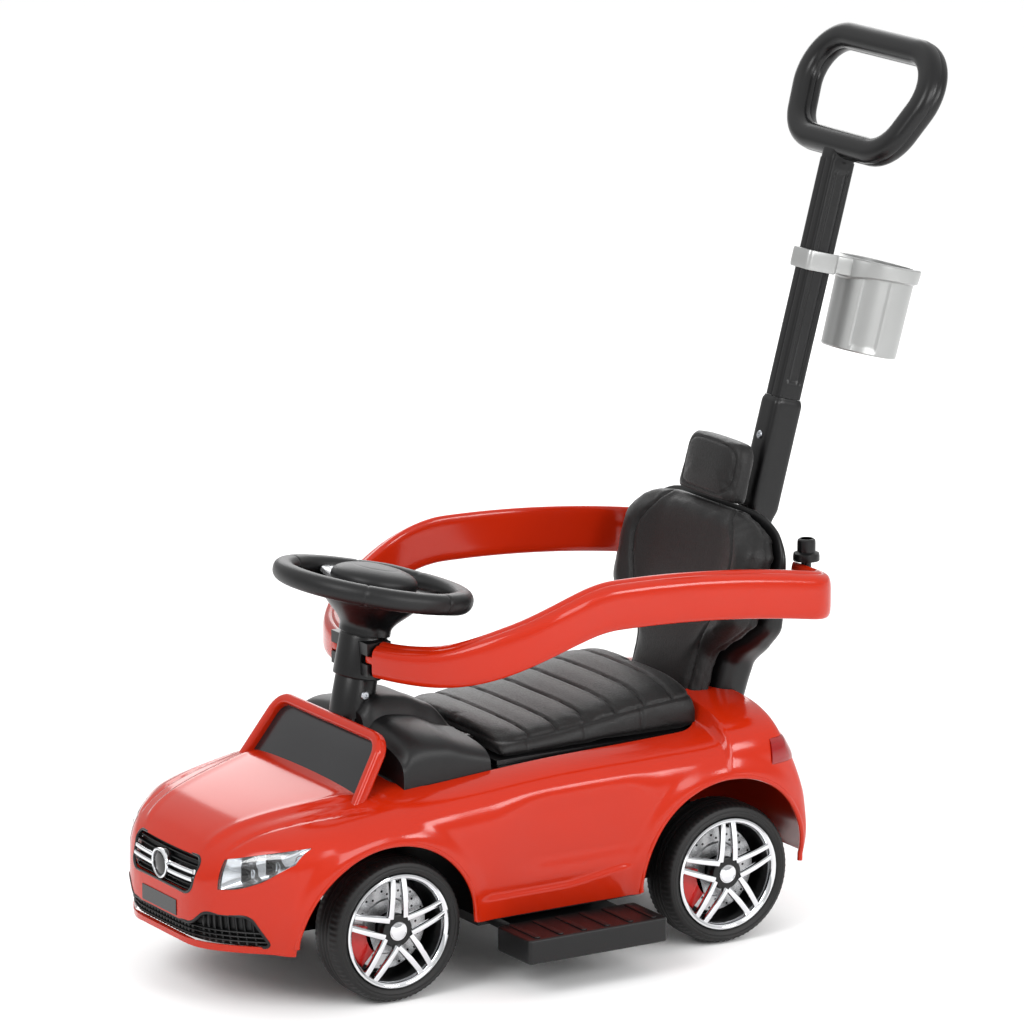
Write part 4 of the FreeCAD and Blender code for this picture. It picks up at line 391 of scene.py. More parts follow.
def clear_plastic(name, code, rough, cover):
    """Polycarbonate lens: light passes through it, with faint mould waviness."""
    finish, tree, shader = shader_of(
        name, Base_Color=linear(code), Roughness=rough, IOR=1.58, Transmission_Weight=cover)
    place = add(tree, "ShaderNodeTexCoord").outputs["Object"]
    wave = add(tree, "ShaderNodeTexNoise", {"Vector": place, "Scale": 120.0, "Detail": 1.0})
    emboss(tree, shader, wave.outputs["Fac"], 0.03)
    return finish


clear_pc = clear_plastic("clear_polycarbonate", "#f6f8fa", 0.03, 1.0)
red_pc = clear_plastic("red_polycarbonate", "#a3060a", 0.08, 0.35)

# %% [markdown]
# Polyurethane leather is vinyl-soft cloth with an embossed grain: small pebbles a couple of millimetres across with
# creases between them. Voronoi cells give the pebbles; a faint sheen gives the soft edge light of a coated cloth.

# %% Seat leather and the slots of the finishes


def leather(name, code, deep, pebble_mm):
    """Embossed polyurethane: cell edges sink, cells swell, and the hollows are a little darker and duller."""
    finish, tree, shader = shader_of(name, Specular_IOR_Level=0.35, Sheen_Weight=0.06, Sheen_Roughness=0.4)
    place = add(tree, "ShaderNodeTexCoord").outputs["Object"]
    warp = add(tree, "ShaderNodeTexNoise", {"Vector": place, "Scale": 250.0, "Detail": 2.0})
    bend = add(tree, "ShaderNodeVectorMath", {0: warp.outputs["Color"], 1: (0.002, 0.002, 0.002)}, operation="MULTIPLY")
    spot = add(tree, "ShaderNodeVectorMath", {0: place, 1: bend.outputs[0]}, operation="ADD")
    cell = add(tree, "ShaderNodeTexVoronoi", {"Vector": spot.outputs[0], "Scale": 1000 / pebble_mm},
               feature="DISTANCE_TO_EDGE")
    swell = add(tree, "ShaderNodeMapRange", {"Value": cell.outputs["Distance"], "From Max": 0.25}).outputs["Result"]
    tone = add(tree, "ShaderNodeValToRGB", {"Fac": swell})
    tone.color_ramp.elements[0].color = linear(deep)
    tone.color_ramp.elements[1].color = linear(code)
    dull = add(tree, "ShaderNodeMapRange", {"Value": swell, "To Min": 0.52, "To Max": 0.4})
    connect(tree, shader, {"Base Color": tone.outputs["Color"], "Roughness": dull.outputs["Result"]})
    emboss(tree, shader, swell, 0.25, 0.0005)
    return finish


seat_leather = leather("black_polyurethane_leather", "#0f0e0e", "#090808", 2.2)

# %% [markdown]
# ## Camera, floor and light
# The camera stands far off with a long lens, a little above the car and to its left front, as in the photograph.
# A pale floor and broad soft lamps stand in for the studio.

# %% Camera
AZIMUTH, ELEVATION = math.radians(58.684), math.radians(14.197)
TARGET = np.array([0.0, -65.0, 315.8]) * MM
DISTANCE = 6.603
FOCAL_PX, FRAME_PX = 6861.7, 1024
CENTRE_PX = (487.15, 620.70)


def standing(item, right, above, back, place):
    """Put an object in the scene at a place, by its three axes; cameras and lamps look along minus the third."""
    stand = np.eye(4)
    stand[:3] = np.stack([right, above, back, place], axis=1)
    item.matrix_world = stand.T.tolist()
    scene.collection.objects.link(item)


level_run = math.cos(ELEVATION)
back = np.array([math.sin(AZIMUTH) * level_run, -math.cos(AZIMUTH) * level_run, math.sin(ELEVATION)])
right = np.array([math.cos(AZIMUTH), math.sin(AZIMUTH), 0.0])
lens = bpy.data.cameras.new("camera")
lens.sensor_width = 36.0
lens.lens = FOCAL_PX / FRAME_PX * lens.sensor_width
lens.shift_x = (FRAME_PX / 2 - CENTRE_PX[0]) / FRAME_PX
lens.shift_y = (CENTRE_PX[1] - FRAME_PX / 2) / FRAME_PX
lens.clip_end = 100.0
scene.camera = bpy.data.objects.new("camera", lens)
standing(scene.camera, right, np.cross(back, right), back, TARGET + back * DISTANCE)
print("camera:", round(lens.lens, 1), "mm lens,", DISTANCE, "m away")

# %% Floor and lamps
FLOOR_REACH = 40
scene.view_settings.view_transform = "Standard"
world = bpy.data.worlds.new("studio")
world.use_nodes = True
sky = world.node_tree
height = add(sky, "ShaderNodeSeparateXYZ", {"Vector": add(sky, "ShaderNodeTexCoord").outputs["Generated"]})
glow = add(sky, "ShaderNodeMapRange", {"Value": height.outputs["Z"], "From Min": 0.0, "From Max": 0.7,
                                       "To Min": 0.55, "To Max": 1.12})
connect(sky, sky.nodes["Background"], {"Strength": glow.outputs["Result"], "Color": (1.0, 1.0, 1.0, 1.0)})
scene.world = world
floor_mesh = bpy.data.meshes.new("floor")
floor_mesh.from_pydata([(x * FLOOR_REACH, y * FLOOR_REACH, 0) for x, y in ((-1, -1), (1, -1), (1, 1), (-1, 1))],
                       [], [[0, 1, 2, 3]])
floor_mesh.materials.append(shader_of("pale_studio_floor", Base_Color=linear("#fbfbfb"), Roughness=0.8)[0])
floor = bpy.data.objects.new("floor", floor_mesh)
scene.collection.objects.link(floor)


def softbox(name, place, aim, size, power):
    """Square area lamp at a place, facing a point, both in metres."""
    lamp = bpy.data.lights.new(name, "AREA")
    lamp.size, lamp.energy = size, power
    away = unit(np.array(place, float) - np.array(aim, float))
    side = unit(np.cross((0.0, 0.0, 1.0), away))
    standing(bpy.data.objects.new(name, lamp), side, np.cross(away, side), away, place)


softbox("key", (1.0, -2.6, 2.4), (0, 0, 0.3), 1.4, 42)
softbox("side", (2.8, 0.3, 1.4), (0, 0, 0.25), 1.2, 26)
softbox("rear", (-2.6, 1.35, 1.6), (0, -0.1, 0.3), 2.0, 32)
softbox("shoulder", (2.1, 1.4, 1.15), (0, 0, 0.25), 0.55, 12)

# %% [markdown]
# ## The shell
# On the real toy the body is one injection moulding with a 3 mm wall, drawn from a steel mould: every section is a
# softened box that swells at the belt and leans in above it. The formula is a list of stations along the car (half
# width, lower edge, roof), joined by a monotone cubic, and a superellipse over the belt at each of them.

# %% Hull formula
STATIONS = np.array([
    (-426.6, 36, 70, 114), (-426.2, 46, 65, 121), (-425, 53, 61, 128), (-419, 73, 60, 143), (-405, 95, 60, 160),
    (-385, 116, 60, 172), (-355, 140, 60, 181), (-310, 150, 60, 190), (-255, 152, 64, 199), (-180, 149, 66, 205),
    (-55, 147.5, 66, 213), (45, 150, 66, 215), (113, 153, 66, 218), (119, 153, 66, 232), (145, 152, 68, 233),
    (175, 148, 72, 231), (195, 143, 72, 205), (212, 137, 70, 166), (228, 116, 72, 112)])
BOX_POWER, CROWN, TUCK = 5.0, 6.0, 8.0
BELT_SHARE, BELT_LIMIT = 0.42, 152
HALVINGS = 26


def hull(y):
    """Half width, lower edge, roof and belt height of the shell at stations y."""
    half, low, top = (flowing(np.asarray(y, float), STATIONS[:, 0], STATIONS[:, column]) for column in (1, 2, 3))
    return half, low, top, low + BELT_SHARE * np.minimum(top - low, BELT_LIMIT)


def inside(x, y, z):
    """Whether points lie within the skin: a tuck below the belt, a superellipse with a crown above it."""
    half, low, top, belt = hull(y)
    under = half - TUCK * np.clip((belt - z) / (belt - low), 0, 1) ** 2
    share = np.clip(np.abs(x) / half, 0, 1)
    drop = (1 - share ** BOX_POWER) ** (1 / BOX_POWER)
    return (z >= low) & (np.abs(x) <= under) & (z <= belt + drop * (top - belt - CROWN * share ** 2))


def bisect(test, near, far, shape):
    """Where a test turns true between near and far, by halvings of whole arrays."""
    near, far = np.full(shape, near), np.full(shape, far)
    for _ in range(HALVINGS):
        middle = (near + far) / 2
        good = test(middle)
        near, far = np.where(good, near, middle), np.where(good, middle, far)
    return far


def nose_y(x, z):
    """Skin met from ahead at (x, z)."""
    x, z = np.broadcast_arrays(x, z)
    return bisect(lambda y: inside(x, y, z), -427.0, -230.0, x.shape)


def flank_x(y, z):
    """Skin met from the left at (y, z)."""
    y, z = np.broadcast_arrays(y, z)
    return bisect(lambda x: inside(x, y, z), 170.0, 0.0, y.shape)


def skin(y, inset, drop, low_count, arc_count):
    """Rows of the hull at stations y: sill to belt on a parabola, belt to roof on the superellipse, then mirrored."""
    half, low, top, belt = (part[:, None] for part in hull(y))
    half, top = half - inset, top - inset
    side_z = (low - drop) + (belt - low + drop) * np.linspace(0, 1, low_count, endpoint=False)
    side_x = half - TUCK * np.clip((belt - side_z) / (belt - low), 0, 1) ** 2
    u, v = squared_circle(np.linspace(0, math.pi / 2, arc_count), BOX_POWER)
    x = np.concatenate([side_x, half * u], axis=1)
    z = np.concatenate([side_z, belt + v * (top - belt - CROWN * u ** 2)], axis=1)
    x, z = np.concatenate([x, -x[:, -2::-1]], axis=1), np.concatenate([z, z[:, -2::-1]], axis=1)
    return points_of(x, y[:, None], z)


# %% [markdown]
# The skin is then pushed in and out along its own normals, as a designer works clay: two ridges run back over the
# domed hood between soft shut lines, the doors are dished, the wheel openings flare, and a step runs along the sill.

# %% Skin with its features
ARCHES = ((-260.0, 62.0), (116.0, 74.0))
ARCH_RADIUS = 96.0
RIDGE, DOME, SHUT_LINE, DOOR_DISH, FLARE, SILL_STEP = 2.3, 1.8, 1.8, 4.0, 3.0, 2.6
WALL, OPEN_BELOW = 3.0, 30.0


def styled(points):
    """Skin points moved along their normals by the hood's ridges and shut lines, door dish, flares and sill step."""
    normal = np.cross(np.gradient(points, axis=1), np.gradient(points, axis=0))
    normal /= np.maximum(np.linalg.norm(normal, axis=-1, keepdims=True), 1e-9)
    x, y, z = np.abs(points[..., 0]), points[..., 1], points[..., 2]
    upward, outward = ramp(np.abs(normal[..., 2]), 0.55, 0.85), ramp(np.abs(normal[..., 0]), 0.55, 0.85)
    hood = ramp(y, -418, -402) * ramp(-y, 262, 285)
    ridge, shut = 57 + 35 * (y + 410) / 130, 84 + 36 * (y + 400) / 115
    relief = RIDGE * bell(x - ridge, 5) + DOME * ramp(ridge - x, -3, 8) - SHUT_LINE * bell(x - shut, 2.2)
    push = hood * upward * relief
    door = ramp(y, -150, -85) * ramp(-y, -40, 5) * ramp(z, 96, 122) * ramp(-z, -188, -160)
    push = push - DOOR_DISH * outward * door
    for centre_y, centre_z in ARCHES:
        away = np.hypot(y - centre_y, z - centre_z) - ARCH_RADIUS
        push = push + FLARE * outward * ramp(-away, -20, -2)
    sill = 88 + 9 * ramp(y, -70, 5)
    push = push + SILL_STEP * outward * ramp(sill - z, -2.6, 2.6) * ramp(y, -166, -146) * ramp(-y, -13, 2)
    sign = np.sign(np.sum(normal * (points - points.mean(axis=1, keepdims=True)), axis=-1).mean())
    return points + sign * push[..., None] * normal


rows_y = np.concatenate([np.arange(-426.6, -385, 1.3), np.arange(-385, 200, 2.6), np.arange(200, 228.1, 1.4)])
outer = styled(skin(rows_y, 0.0, 0.0, 28, 100))
core_y = np.concatenate([np.linspace(-421, -385, 10), np.linspace(-375, 112, 40), np.linspace(121, 224, 20)])
core = styled(skin(core_y, WALL, OPEN_BELOW, 6, 24))
print("skin:", outer.shape, "core:", core.shape)

# %% [markdown]
# Openings are cut with one exact Boolean: the hollow inside, four wheel openings, the cockpit, the pockets of the
# lamps and the two grilles.

# %% Outlines of the openings
GRILLE = rounded([(-55, 111), (55, 111), (62, 146), (-62, 146)], 9)
INTAKE = rounded([(-121, 67), (121, 67), (110, 97), (72, 97), (56, 83), (-56, 83), (-72, 97), (-110, 97)], 6)
LAMP_X = np.linspace(86, 137, 33)
LAMP_LOW = flowing(LAMP_X, (86, 98, 116, 137), (121.0, 122.5, 130.0, 149.0))
LAMP_TOP = 149 + 14 * (LAMP_X - 86) / 51
LAMP = np.concatenate([points_of(LAMP_X, LAMP_LOW), points_of(LAMP_X, LAMP_TOP)[::-1]])
TAIL = rounded([(166, 174), (240, 174), (240, 199), (166, 199)], 4)
COCKPIT = rounded([(-110, -226), (110, -226), (110, 114), (-110, 114)], 30, 12)


def cutter(outline, low, high):
    """Sharp-edged slab."""
    return plate(outline, low, high, 0.0, 2)


wheel_disc = oval(ARCH_RADIUS, ARCH_RADIUS, 2, 96)
cutters = [core]
for arch in ARCHES:
    cutters += [sideways(cutter(wheel_disc + arch, side - 55, side + 55)) for side in (125, -125)]
lamp_cut, tail_cut = facing(cutter(LAMP, -480, -300)), sideways(cutter(TAIL, 92, 200))
cutters += [cutter(COCKPIT, 150, 300), facing(cutter(GRILLE, -480, -400)), facing(cutter(INTAKE, -480, -352)),
            lamp_cut, mirrored(lamp_cut), tail_cut, mirrored(tail_cut)]
print("cutters:", len(cutters))

# %% The cut shell
SHELL_CREASE = 48
whole = bpy.data.objects.new("shell_skin", mesh_of("shell_skin", outer, tube_faces(*outer.shape[:2])))
scene.collection.objects.link(whole)
tools = bpy.data.collections.new("cutters")
for number, points in enumerate(cutters):
    mesh = mesh_of(f"cutter_{number}", points, tube_faces(*points.shape[:2]))
    tools.objects.link(bpy.data.objects.new(mesh.name, mesh))
cut = whole.modifiers.new("cut", "BOOLEAN")
cut.operation, cut.solver, cut.operand_type, cut.collection = "DIFFERENCE", "EXACT", "COLLECTION", tools
bpy.context.view_layer.update()
cut_mesh = bpy.data.meshes.new_from_object(evaluated(whole))
for spare in list(tools.objects) + [whole]:
    bpy.data.objects.remove(spare)
bpy.data.collections.remove(tools)
dress(bpy.data.objects.new("shell_moulding", cut_mesh), red_abs, ("body_shell",), crease=SHELL_CREASE)
print("shell:", len(cut_mesh.polygons), "faces")

# %% [markdown]
# Each wheel opening is edged by a rolled bead, which stiffens the thin wall and keeps small fingers off its edge.

# %% Wheel-opening beads
BEAD_FOOT, BEAD_RADIUS = 67.0, 2.6
beads = []
for centre_y, centre_z in ARCHES:
    start = math.asin((BEAD_FOOT - centre_z) / ARCH_RADIUS)
    turn = np.linspace(start, math.pi - start, 90)
    bead_y, bead_z = centre_y + ARCH_RADIUS * np.cos(turn), centre_z + ARCH_RADIUS * np.sin(turn)
    bead_x = flank_x(np.clip(bead_y, -420, 226), np.maximum(bead_z, 74)) + 1.2
    bead = sweep(points_of(bead_x, bead_y, bead_z), oval(BEAD_RADIUS, BEAD_RADIUS, 2, 10), (1, 0, 0))
    beads += [bead, mirrored(bead)]
piece("wheel_opening_beads", *gathered(beads), red_abs)
print("beads:", len(beads))

# %% [markdown]
# ## Windscreen, grille and lamps
# The windscreen is a dark panel in a slim red frame that stands on the cowl; the frame is part of the shell's
# moulding and the panel is pressed in. The nose pieces follow the shell: their depth is found where a level line
# from ahead meets the skin.

# %% Windscreen frame and panel
SCREEN, _ = leaning(-281.0, 178.0, -57.2)
frame_corners = np.array([(-111.0, -14.0), (-95.5, 78.0), (95.5, 78.0), (111.0, -14.0)])
upper_bends = rounded(frame_corners, 17, 14)[14:42]
frame_line = evenly(np.concatenate([frame_corners[:1], upper_bends, frame_corners[3:]]), 120)
screen_frame = sweep(points_of(*frame_line.T, -2.0), oval(5.3, 6.4, 3.2, 28))
tube("windscreen_frame", SCREEN(screen_frame), red_abs)
u, v = np.meshgrid(np.linspace(-1, 1, 41), np.linspace(0, 1, 25))
bulge = 2.2 * (1 - u ** 4) * (1 - (2 * v - 1) ** 4)
glass_front = points_of(u * (107 - 14.5 * v), -2 + 76 * v, -3.5 + bulge)
glass_back = glass_front * (1, 1, 0) - (0, 0, 7.0)
tube("windscreen_glass", SCREEN(closed_sheet(glass_front, glass_back)), grey_abs, ("windscreen_panel",))
print("windscreen:", screen_frame.shape, glass_front.shape)

# %% Pieces that follow the nose


def nose_sheet(outline_u, low, high, sink, thick):
    """Sheet behind the skin between two heights: half width from outline_u(z), sunk by a depth."""
    level = np.linspace(low, high, 16)[:, None]
    across = np.linspace(-1, 1, 61) * outline_u(level)
    front = points_of(across, nose_y(across, level) + sink, level)
    return closed_sheet(front, front + (0, thick, 0))


def nose_bar(start, stop, count, level, sink, section):
    """Bar across the nose at a height: its section carried along the skin's curve."""
    across = np.linspace(start, stop, count)
    return sweep(points_of(across, nose_y(across, level) + sink, level), section)


def nose_rim(name, outline, sink, radius, finish):
    """Round bead laid on the skin along an outline of the front view."""
    x, z = outline.T
    line = points_of(x, nose_y(x, z) + sink, z)
    tube(name, sweep(line, oval(radius, radius, 2, 10), (0, 1, 0), True), finish, looped=True)


# %% Upper grille: sunk backing, slats, twin chrome bars and a plain boss
BOSS = (0, -426.0, 128.0)
tube("grille_backing", nose_sheet(lambda z: 56 + 7 * (z - 109) / 39, 109, 148, 7.0, 3.0), black_pp, ("upper_grille",))
slats = [nose_bar(-half, half, 70, z, 4.5, oval(2.6, 0.9, 2.5, 10))
         for z in (114.5, 119, 136.5, 141.5) for half in (54 + 7 * (z - 111) / 35,)]
piece("grille_slats", *gathered(slats), gloss_black)
bars = [nose_bar(start, stop, 36, z, 1.2, oval(1.9, 2.3, 3, 14))
        for z in (124.6, 131.6) for start, stop in ((12, 55.5), (-55.5, -12))]
piece("grille_chrome_bars", *gathered(bars), chrome, ("grille_bars",))
boss_ring = [(14.6, -2.0), (14.8, 0.2), (14.4, 1.2), (13.4, 1.7), (12.4, 1.3), (12.0, 0.3), (12.2, -2.0)]
boss_disc = [(14.0, -9.0), (14.0, -1.6), (11.8, -1.2), (10.5, -0.3), (8.0, 0.3), (4.0, 0.7), (0.0, 0.8)]
tube("grille_boss_ring", ahead(turned(boss_ring, 64)) + BOSS, chrome, looped=True)
tube("grille_boss_disc", ahead(turned(boss_disc, 64)) + BOSS, gloss_black)
nose_rim("grille_rim", GRILLE, 0.6, 1.5, gloss_black)
print("grille:", len(slats), "slats,", len(bars), "half bars")

# %% Lower intake: backing, mesh of slats and its rim
tube("intake_backing", nose_sheet(lambda z: 120 - 10 * (z - 66) / 30, 66, 98, 8.0, 3.0), black_pp, ("lower_grille",))
mesh_bars = [nose_bar(-half, half, 90, z, 4.5, oval(2.2, 0.8, 2.5, 10))
             for half, z in ((117, 71.5), (116, 76), (115, 80.5))]
wing_x = np.linspace(66, 108, 8)
for x in np.concatenate([np.linspace(-52, 52, 19), wing_x, -wing_x]):
    z = np.linspace(68, 84.0 if abs(x) < 60 else 95.0, 14)
    mesh_bars.append(sweep(points_of(x, nose_y(x, z) + 5.0, z), oval(0.8, 1.8, 2.5, 8), (1, 0, 0)))
piece("intake_mesh", *gathered(mesh_bars), black_pp)
nose_rim("intake_rim", INTAKE, 0.8, 1.6, black_pp)
print("intake:", len(mesh_bars), "bars")

# %% [markdown]
# A headlamp is a plated bowl behind a clear lens, pressed into a pocket of the shell. The lens is the lamp's outline
# in the front view laid on the skin; the bowl is the same patch pushed in by a product of two quartic humps, and two
# turned projector rings sit in it.

# %% Headlamps


def lamp_patch(sink, dish, shrink):
    """Outline of the lamp laid on the skin: height = low edge + share * (top - low), sunk and dished to its middle."""
    s, t = np.meshgrid(np.linspace(shrink, 1 - shrink, 33), np.linspace(shrink, 1 - shrink, 21))
    x = LAMP_X[0] + (LAMP_X[-1] - LAMP_X[0]) * s
    z = np.interp(x, LAMP_X, LAMP_LOW) * (1 - t) + np.interp(x, LAMP_X, LAMP_TOP) * t
    hump = (1 - (2 * s - 1) ** 4) * (1 - (2 * t - 1) ** 4)
    return points_of(x, nose_y(x, z) + sink + dish * hump, z)


lens_sheet = closed_sheet(lamp_patch(-0.4, -0.9, 0.0), lamp_patch(1.6, -0.9, 0.0))
bowl_sheet = closed_sheet(lamp_patch(2.4, 13.0, 0.01), lamp_patch(4.8, 13.0, 0.01))
pair("headlight_lens", lens_sheet, clear_pc, "headlight_lenses")
pair("headlight_bowl", bowl_sheet, chrome, "headlight_reflectors")
RING = np.array([(0.62, -6.0), (0.7, 0.5), (0.92, 1.4), (1.0, 0.8), (1.0, -8.0), (0.9, -8.0), (0.72, -6.5),
                 (0.62, -6.0)])
TOE_OUT = np.array([[0.87, 0.5, 0], [-0.5, 0.87, 0], [0, 0, 1]])
projectors = [ahead(turned(RING * (size, 1), 40)) @ TOE_OUT.T + (x, nose_y(x, z) + 7.5, z)
              for x, z, size in ((99.5, 136.5, 8.6), (116.0, 144.5, 7.6))]
rings = projectors + [mirrored(ring) for ring in projectors]
piece("headlight_projector_rings", *gathered((), rings), gloss_black)
turn, rise = np.meshgrid(circle(24), np.linspace(0, math.pi, 13))
ball = points_of(np.sin(rise) * np.cos(turn), np.cos(rise), np.sin(rise) * np.sin(turn)) * (5.4, 4.0, 5.4)
eyes = []
for ring in projectors:
    eye = ball + ring.reshape(-1, 3).mean(axis=0) + (0, 1.0, 0)
    eyes += [eye, mirrored(eye)]
piece("headlight_projector_eyes", *gathered(eyes), clear_pc)
print("headlamps:", len(rings), "projectors")

# %% [markdown]
# A tail lamp wraps round the shell's rear corner. Its skin is found from behind, and it swells a little outwards.

# %% Tail lamps
TAIL_IN, TAIL_FORE, TAIL_MID = 92.3, 166.3, 186.5
share, tail_z = np.meshgrid(np.linspace(0, 1, 45), np.linspace(174.3, 198.7, 17))
tail_x = TAIL_IN + (flank_x(TAIL_FORE, tail_z) - TAIL_IN) * np.sin(share * math.pi / 2)
tail_y = bisect(lambda y: inside(tail_x, y, tail_z), 233.0, 150.0, share.shape)
tail_skin = points_of(tail_x, tail_y, tail_z)
outward = unit(np.cross(np.gradient(tail_skin, axis=0), np.gradient(tail_skin, axis=1)))
outward *= np.sign(np.sum(outward * (1, 1, 0)))
tail_swell = (0.3 + 1.4 * (1 - ((tail_z - TAIL_MID) / 12.4) ** 4))[..., None]
pair("tail_lens", closed_sheet(tail_skin + tail_swell * outward, tail_skin - 4.5 * outward), red_pc, "tail_lights")
print("tail lamps:", tail_skin.shape)

# %% [markdown]
# ## Wheels
# A toy tyre is a hollow blow-moulded ring of hard plastic: its tread is three grooves round it and rows of short ribs
# on the shoulders. The star is plated ABS, five twin spokes whose arms lean together towards the rim; behind it sit a
# drilled disc and a red caliper. All are worked out round local X and set on the four corners, turned about for the
# right side.

# %% Tyres
TYRE_RADIUS, TYRE_HALF, RIM, TRACK_HALF = 70.0, 22.0, 56.0, 123.5
GROOVE, RIB, RIB_COUNT, TYRE_CREASE = 1.3, 0.9, 75, 40
section = oval(TYRE_HALF, (TYRE_RADIUS - RIM + 2) / 2, 3.4, 72)
spin = circle(300)
across, depth = section[:, :1], section[:, 1:]
outside = ramp(depth, 1.0, 6.0)
grooves = sum(bell(np.abs(across) - spot, 1.1) for spot in (0.0, 6.5))
shoulder = ramp(np.abs(across), 10.5, 12.5) * ramp(-np.abs(across), -21.4, -20.0)
ribs = shoulder * ramp(np.sin(RIB_COUNT * spin), -0.3, 0.3)
wall_rings = sum(bell(depth - spot, 0.7) for spot in (-1.5, 1.5)) * ramp(np.abs(across), 20.5, 21.5)
radial = (TYRE_RADIUS + RIM - 2) / 2 + depth - outside * (GROOVE * grooves + RIB * ribs)
tread = points_of(across + np.sign(across) * 0.5 * wall_rings, radial * np.cos(spin), radial * np.sin(spin))
print("tyre:", tread.shape)

# %% Star, hub, disc and caliper
SPOKES = 5


def about_x(profile, count):
    """Profile of (radius, reach along X) turned round X."""
    return sideways(turned(profile, count))


def arm(middle, lean):
    """One arm of a twin spoke: from beside the hub to the rim, bowed outwards, its section a softened box."""
    t = np.linspace(0, 1, 22)
    reach, offset = 13 + 40 * t, lean * (8.2 - 2.6 * t)
    c, s = math.cos(middle), math.sin(middle)
    bow = 18.6 + 1.6 * np.sin(math.pi * t) - 0.8 * t
    u, v = oval(1.0, 1.0, 4.0, 16).T
    path = points_of(bow, reach * c - offset * s, reach * s + offset * c)
    return sweep(path, points_of((3.2 - 0.2 * t)[:, None] * u, 2.6 * v), (1, 0, 0))


rim_lip = about_x([(55.8, 14.5), (56.0, 19.0), (55.2, 21.3), (53.6, 21.8), (51.8, 21.2), (50.2, 19.2), (49.9, 15.5),
                   (51.0, 14.5)], 120)
arms = [arm(math.pi / 2 + 2 * math.pi * spoke / SPOKES, lean) for spoke in range(SPOKES) for lean in (-1, 1)]
hub = about_x([(0, 12.0), (9.0, 12.0), (9.4, 19.8), (9.0, 20.6), (8.2, 20.8), (7.6, 20.4), (5.0, 21.0), (2.5, 21.4),
               (0, 21.5)], 48)
star, star_faces = gathered(arms + [hub], [rim_lip])
ring_black = about_x([(9.2, 8.0), (15.5, 8.0), (16.5, 16.5), (15.5, 18.6), (13.0, 19.6), (9.6, 19.4)], 48)
disc = about_x([(14.0, -4.0), (41.5, -4.0), (42.0, -3.4), (42.0, -1.6), (41.5, -1.0), (27.5, -1.0), (26.0, 0.6),
                (14.0, 0.6)], 80)
dots = [sideways(plate(oval(1.3, 1.3, 2, 10) + (radius * math.cos(turn), radius * math.sin(turn)), -2.0, -0.8, 0.1, 2))
        for radius, phase in ((31.0, 0.0), (35.0, 0.17), (39.0, 0.34)) for turn in circle(12) + phase]
holes, hole_faces = gathered(dots)
turn = np.linspace(-0.5, 0.5, 24) + math.pi + 0.3
bow = points_of(np.cos(turn), np.sin(turn))
caliper = sideways(plate(np.concatenate([46.5 * bow, 27.0 * bow[::-1]]), 0.0, 8.5, 1.6))
barrel = about_x([(49.0, -18.0), (53.8, -18.0), (53.8, 17.0), (50.5, 17.0), (49.5, 10.0), (48.0, -12.0)], 96)
print("star:", len(star_faces), "faces,", len(dots), "holes in the disc")

# %% Four wheels
for end, axle_y in ENDS:
    for side, sign in SIDES:
        corner, rider = f"{end}_{side}", f"wheel_{end}_{side}"
        half_turn, spot = (sign, sign, 1), (sign * TRACK_HALF, axle_y, TYRE_RADIUS)
        tube(f"tyre_{corner}_tread", tread * half_turn + spot, tyre_pe, (f"tyre_{corner}",), rider, looped=True,
             crease=TYRE_CREASE)
        piece(f"star_{corner}_plated", star * half_turn + spot, star_faces, chrome, (f"wheel_star_{corner}",), rider)
        tube(f"hub_ring_{corner}", ring_black * half_turn + spot, satin_pp, (), rider, "tyre_black", True)
        tube(f"barrel_{corner}", barrel * half_turn + spot, satin_pp, (), rider, "tyre_black", True)
        tube(f"disc_{corner}", disc * half_turn + spot, silver_lacquer, (f"brake_insert_{corner}",), rider, looped=True)
        piece(f"disc_holes_{corner}", holes * half_turn + spot, hole_faces, gloss_black, (), rider, "tyre_black")
        tube(f"caliper_{corner}", caliper * half_turn + spot, caliper_red, (), rider)
print("wheels:", len(ENDS) * len(SIDES))

# %% [markdown]
# ## Guard rails
# Each rail is a closed moulding, two welded halves with a fine seam along the top. Its path in plan is a broad arc from
# the collar, a straight side and a tight rear corner; its underside climbs from the collar to the child's side and
# falls a little towards the pin.

# %% Rails
RAIL_SIDE, RAIL_SWEEP, RAIL_BEND, RAIL_CORNER, RAIL_HALF = 161.0, 155.0, -55.0, 25.0, 9.0
PIN_X, PIN_Y = 116.0, 226.0
front_turn = math.acos((36.0 - RAIL_SIDE + RAIL_SWEEP) / RAIL_SWEEP)
turn = np.linspace(front_turn, 0, 60, endpoint=False)
arc = points_of(RAIL_SIDE - RAIL_SWEEP + RAIL_SWEEP * np.cos(turn), RAIL_BEND - RAIL_SWEEP * np.sin(turn))
straight = points_of(RAIL_SIDE, np.linspace(RAIL_BEND, PIN_Y - RAIL_CORNER, 60, endpoint=False))
turn = np.linspace(0, math.pi / 2, 24)
bend = points_of(RAIL_SIDE - RAIL_CORNER * (1 - np.cos(turn)), PIN_Y - RAIL_CORNER * (1 - np.sin(turn)))
rear = points_of(np.linspace(134, 103, 8), PIN_Y)
plan = np.concatenate([arc, straight, bend, rear])
along = plan[:, 1:]
under = 287 + 49 * ramp(along, -190, -20) - 23 * np.clip((along + 20) / 246, 0, None) ** 2
tall = 27 + 14 * ramp(along, -220, -130)
u, v = oval(1.0, 1.0, 4.2, 72).T
across, share = RAIL_HALF * u, (v + 1) / 2
lean_up = 8.0 * ramp(share, 0.4, 1.0) * (RAIL_HALF - across) / (2 * RAIL_HALF)
seam = 0.9 * bell(across, 0.9) * ramp(share, 0.9, 0.98)
rail_section = points_of(across, tall * share + lean_up - seam)
rail = sweep(points_of(*plan.T, 0.0), rail_section) + points_of(0.0, 0.0, under)
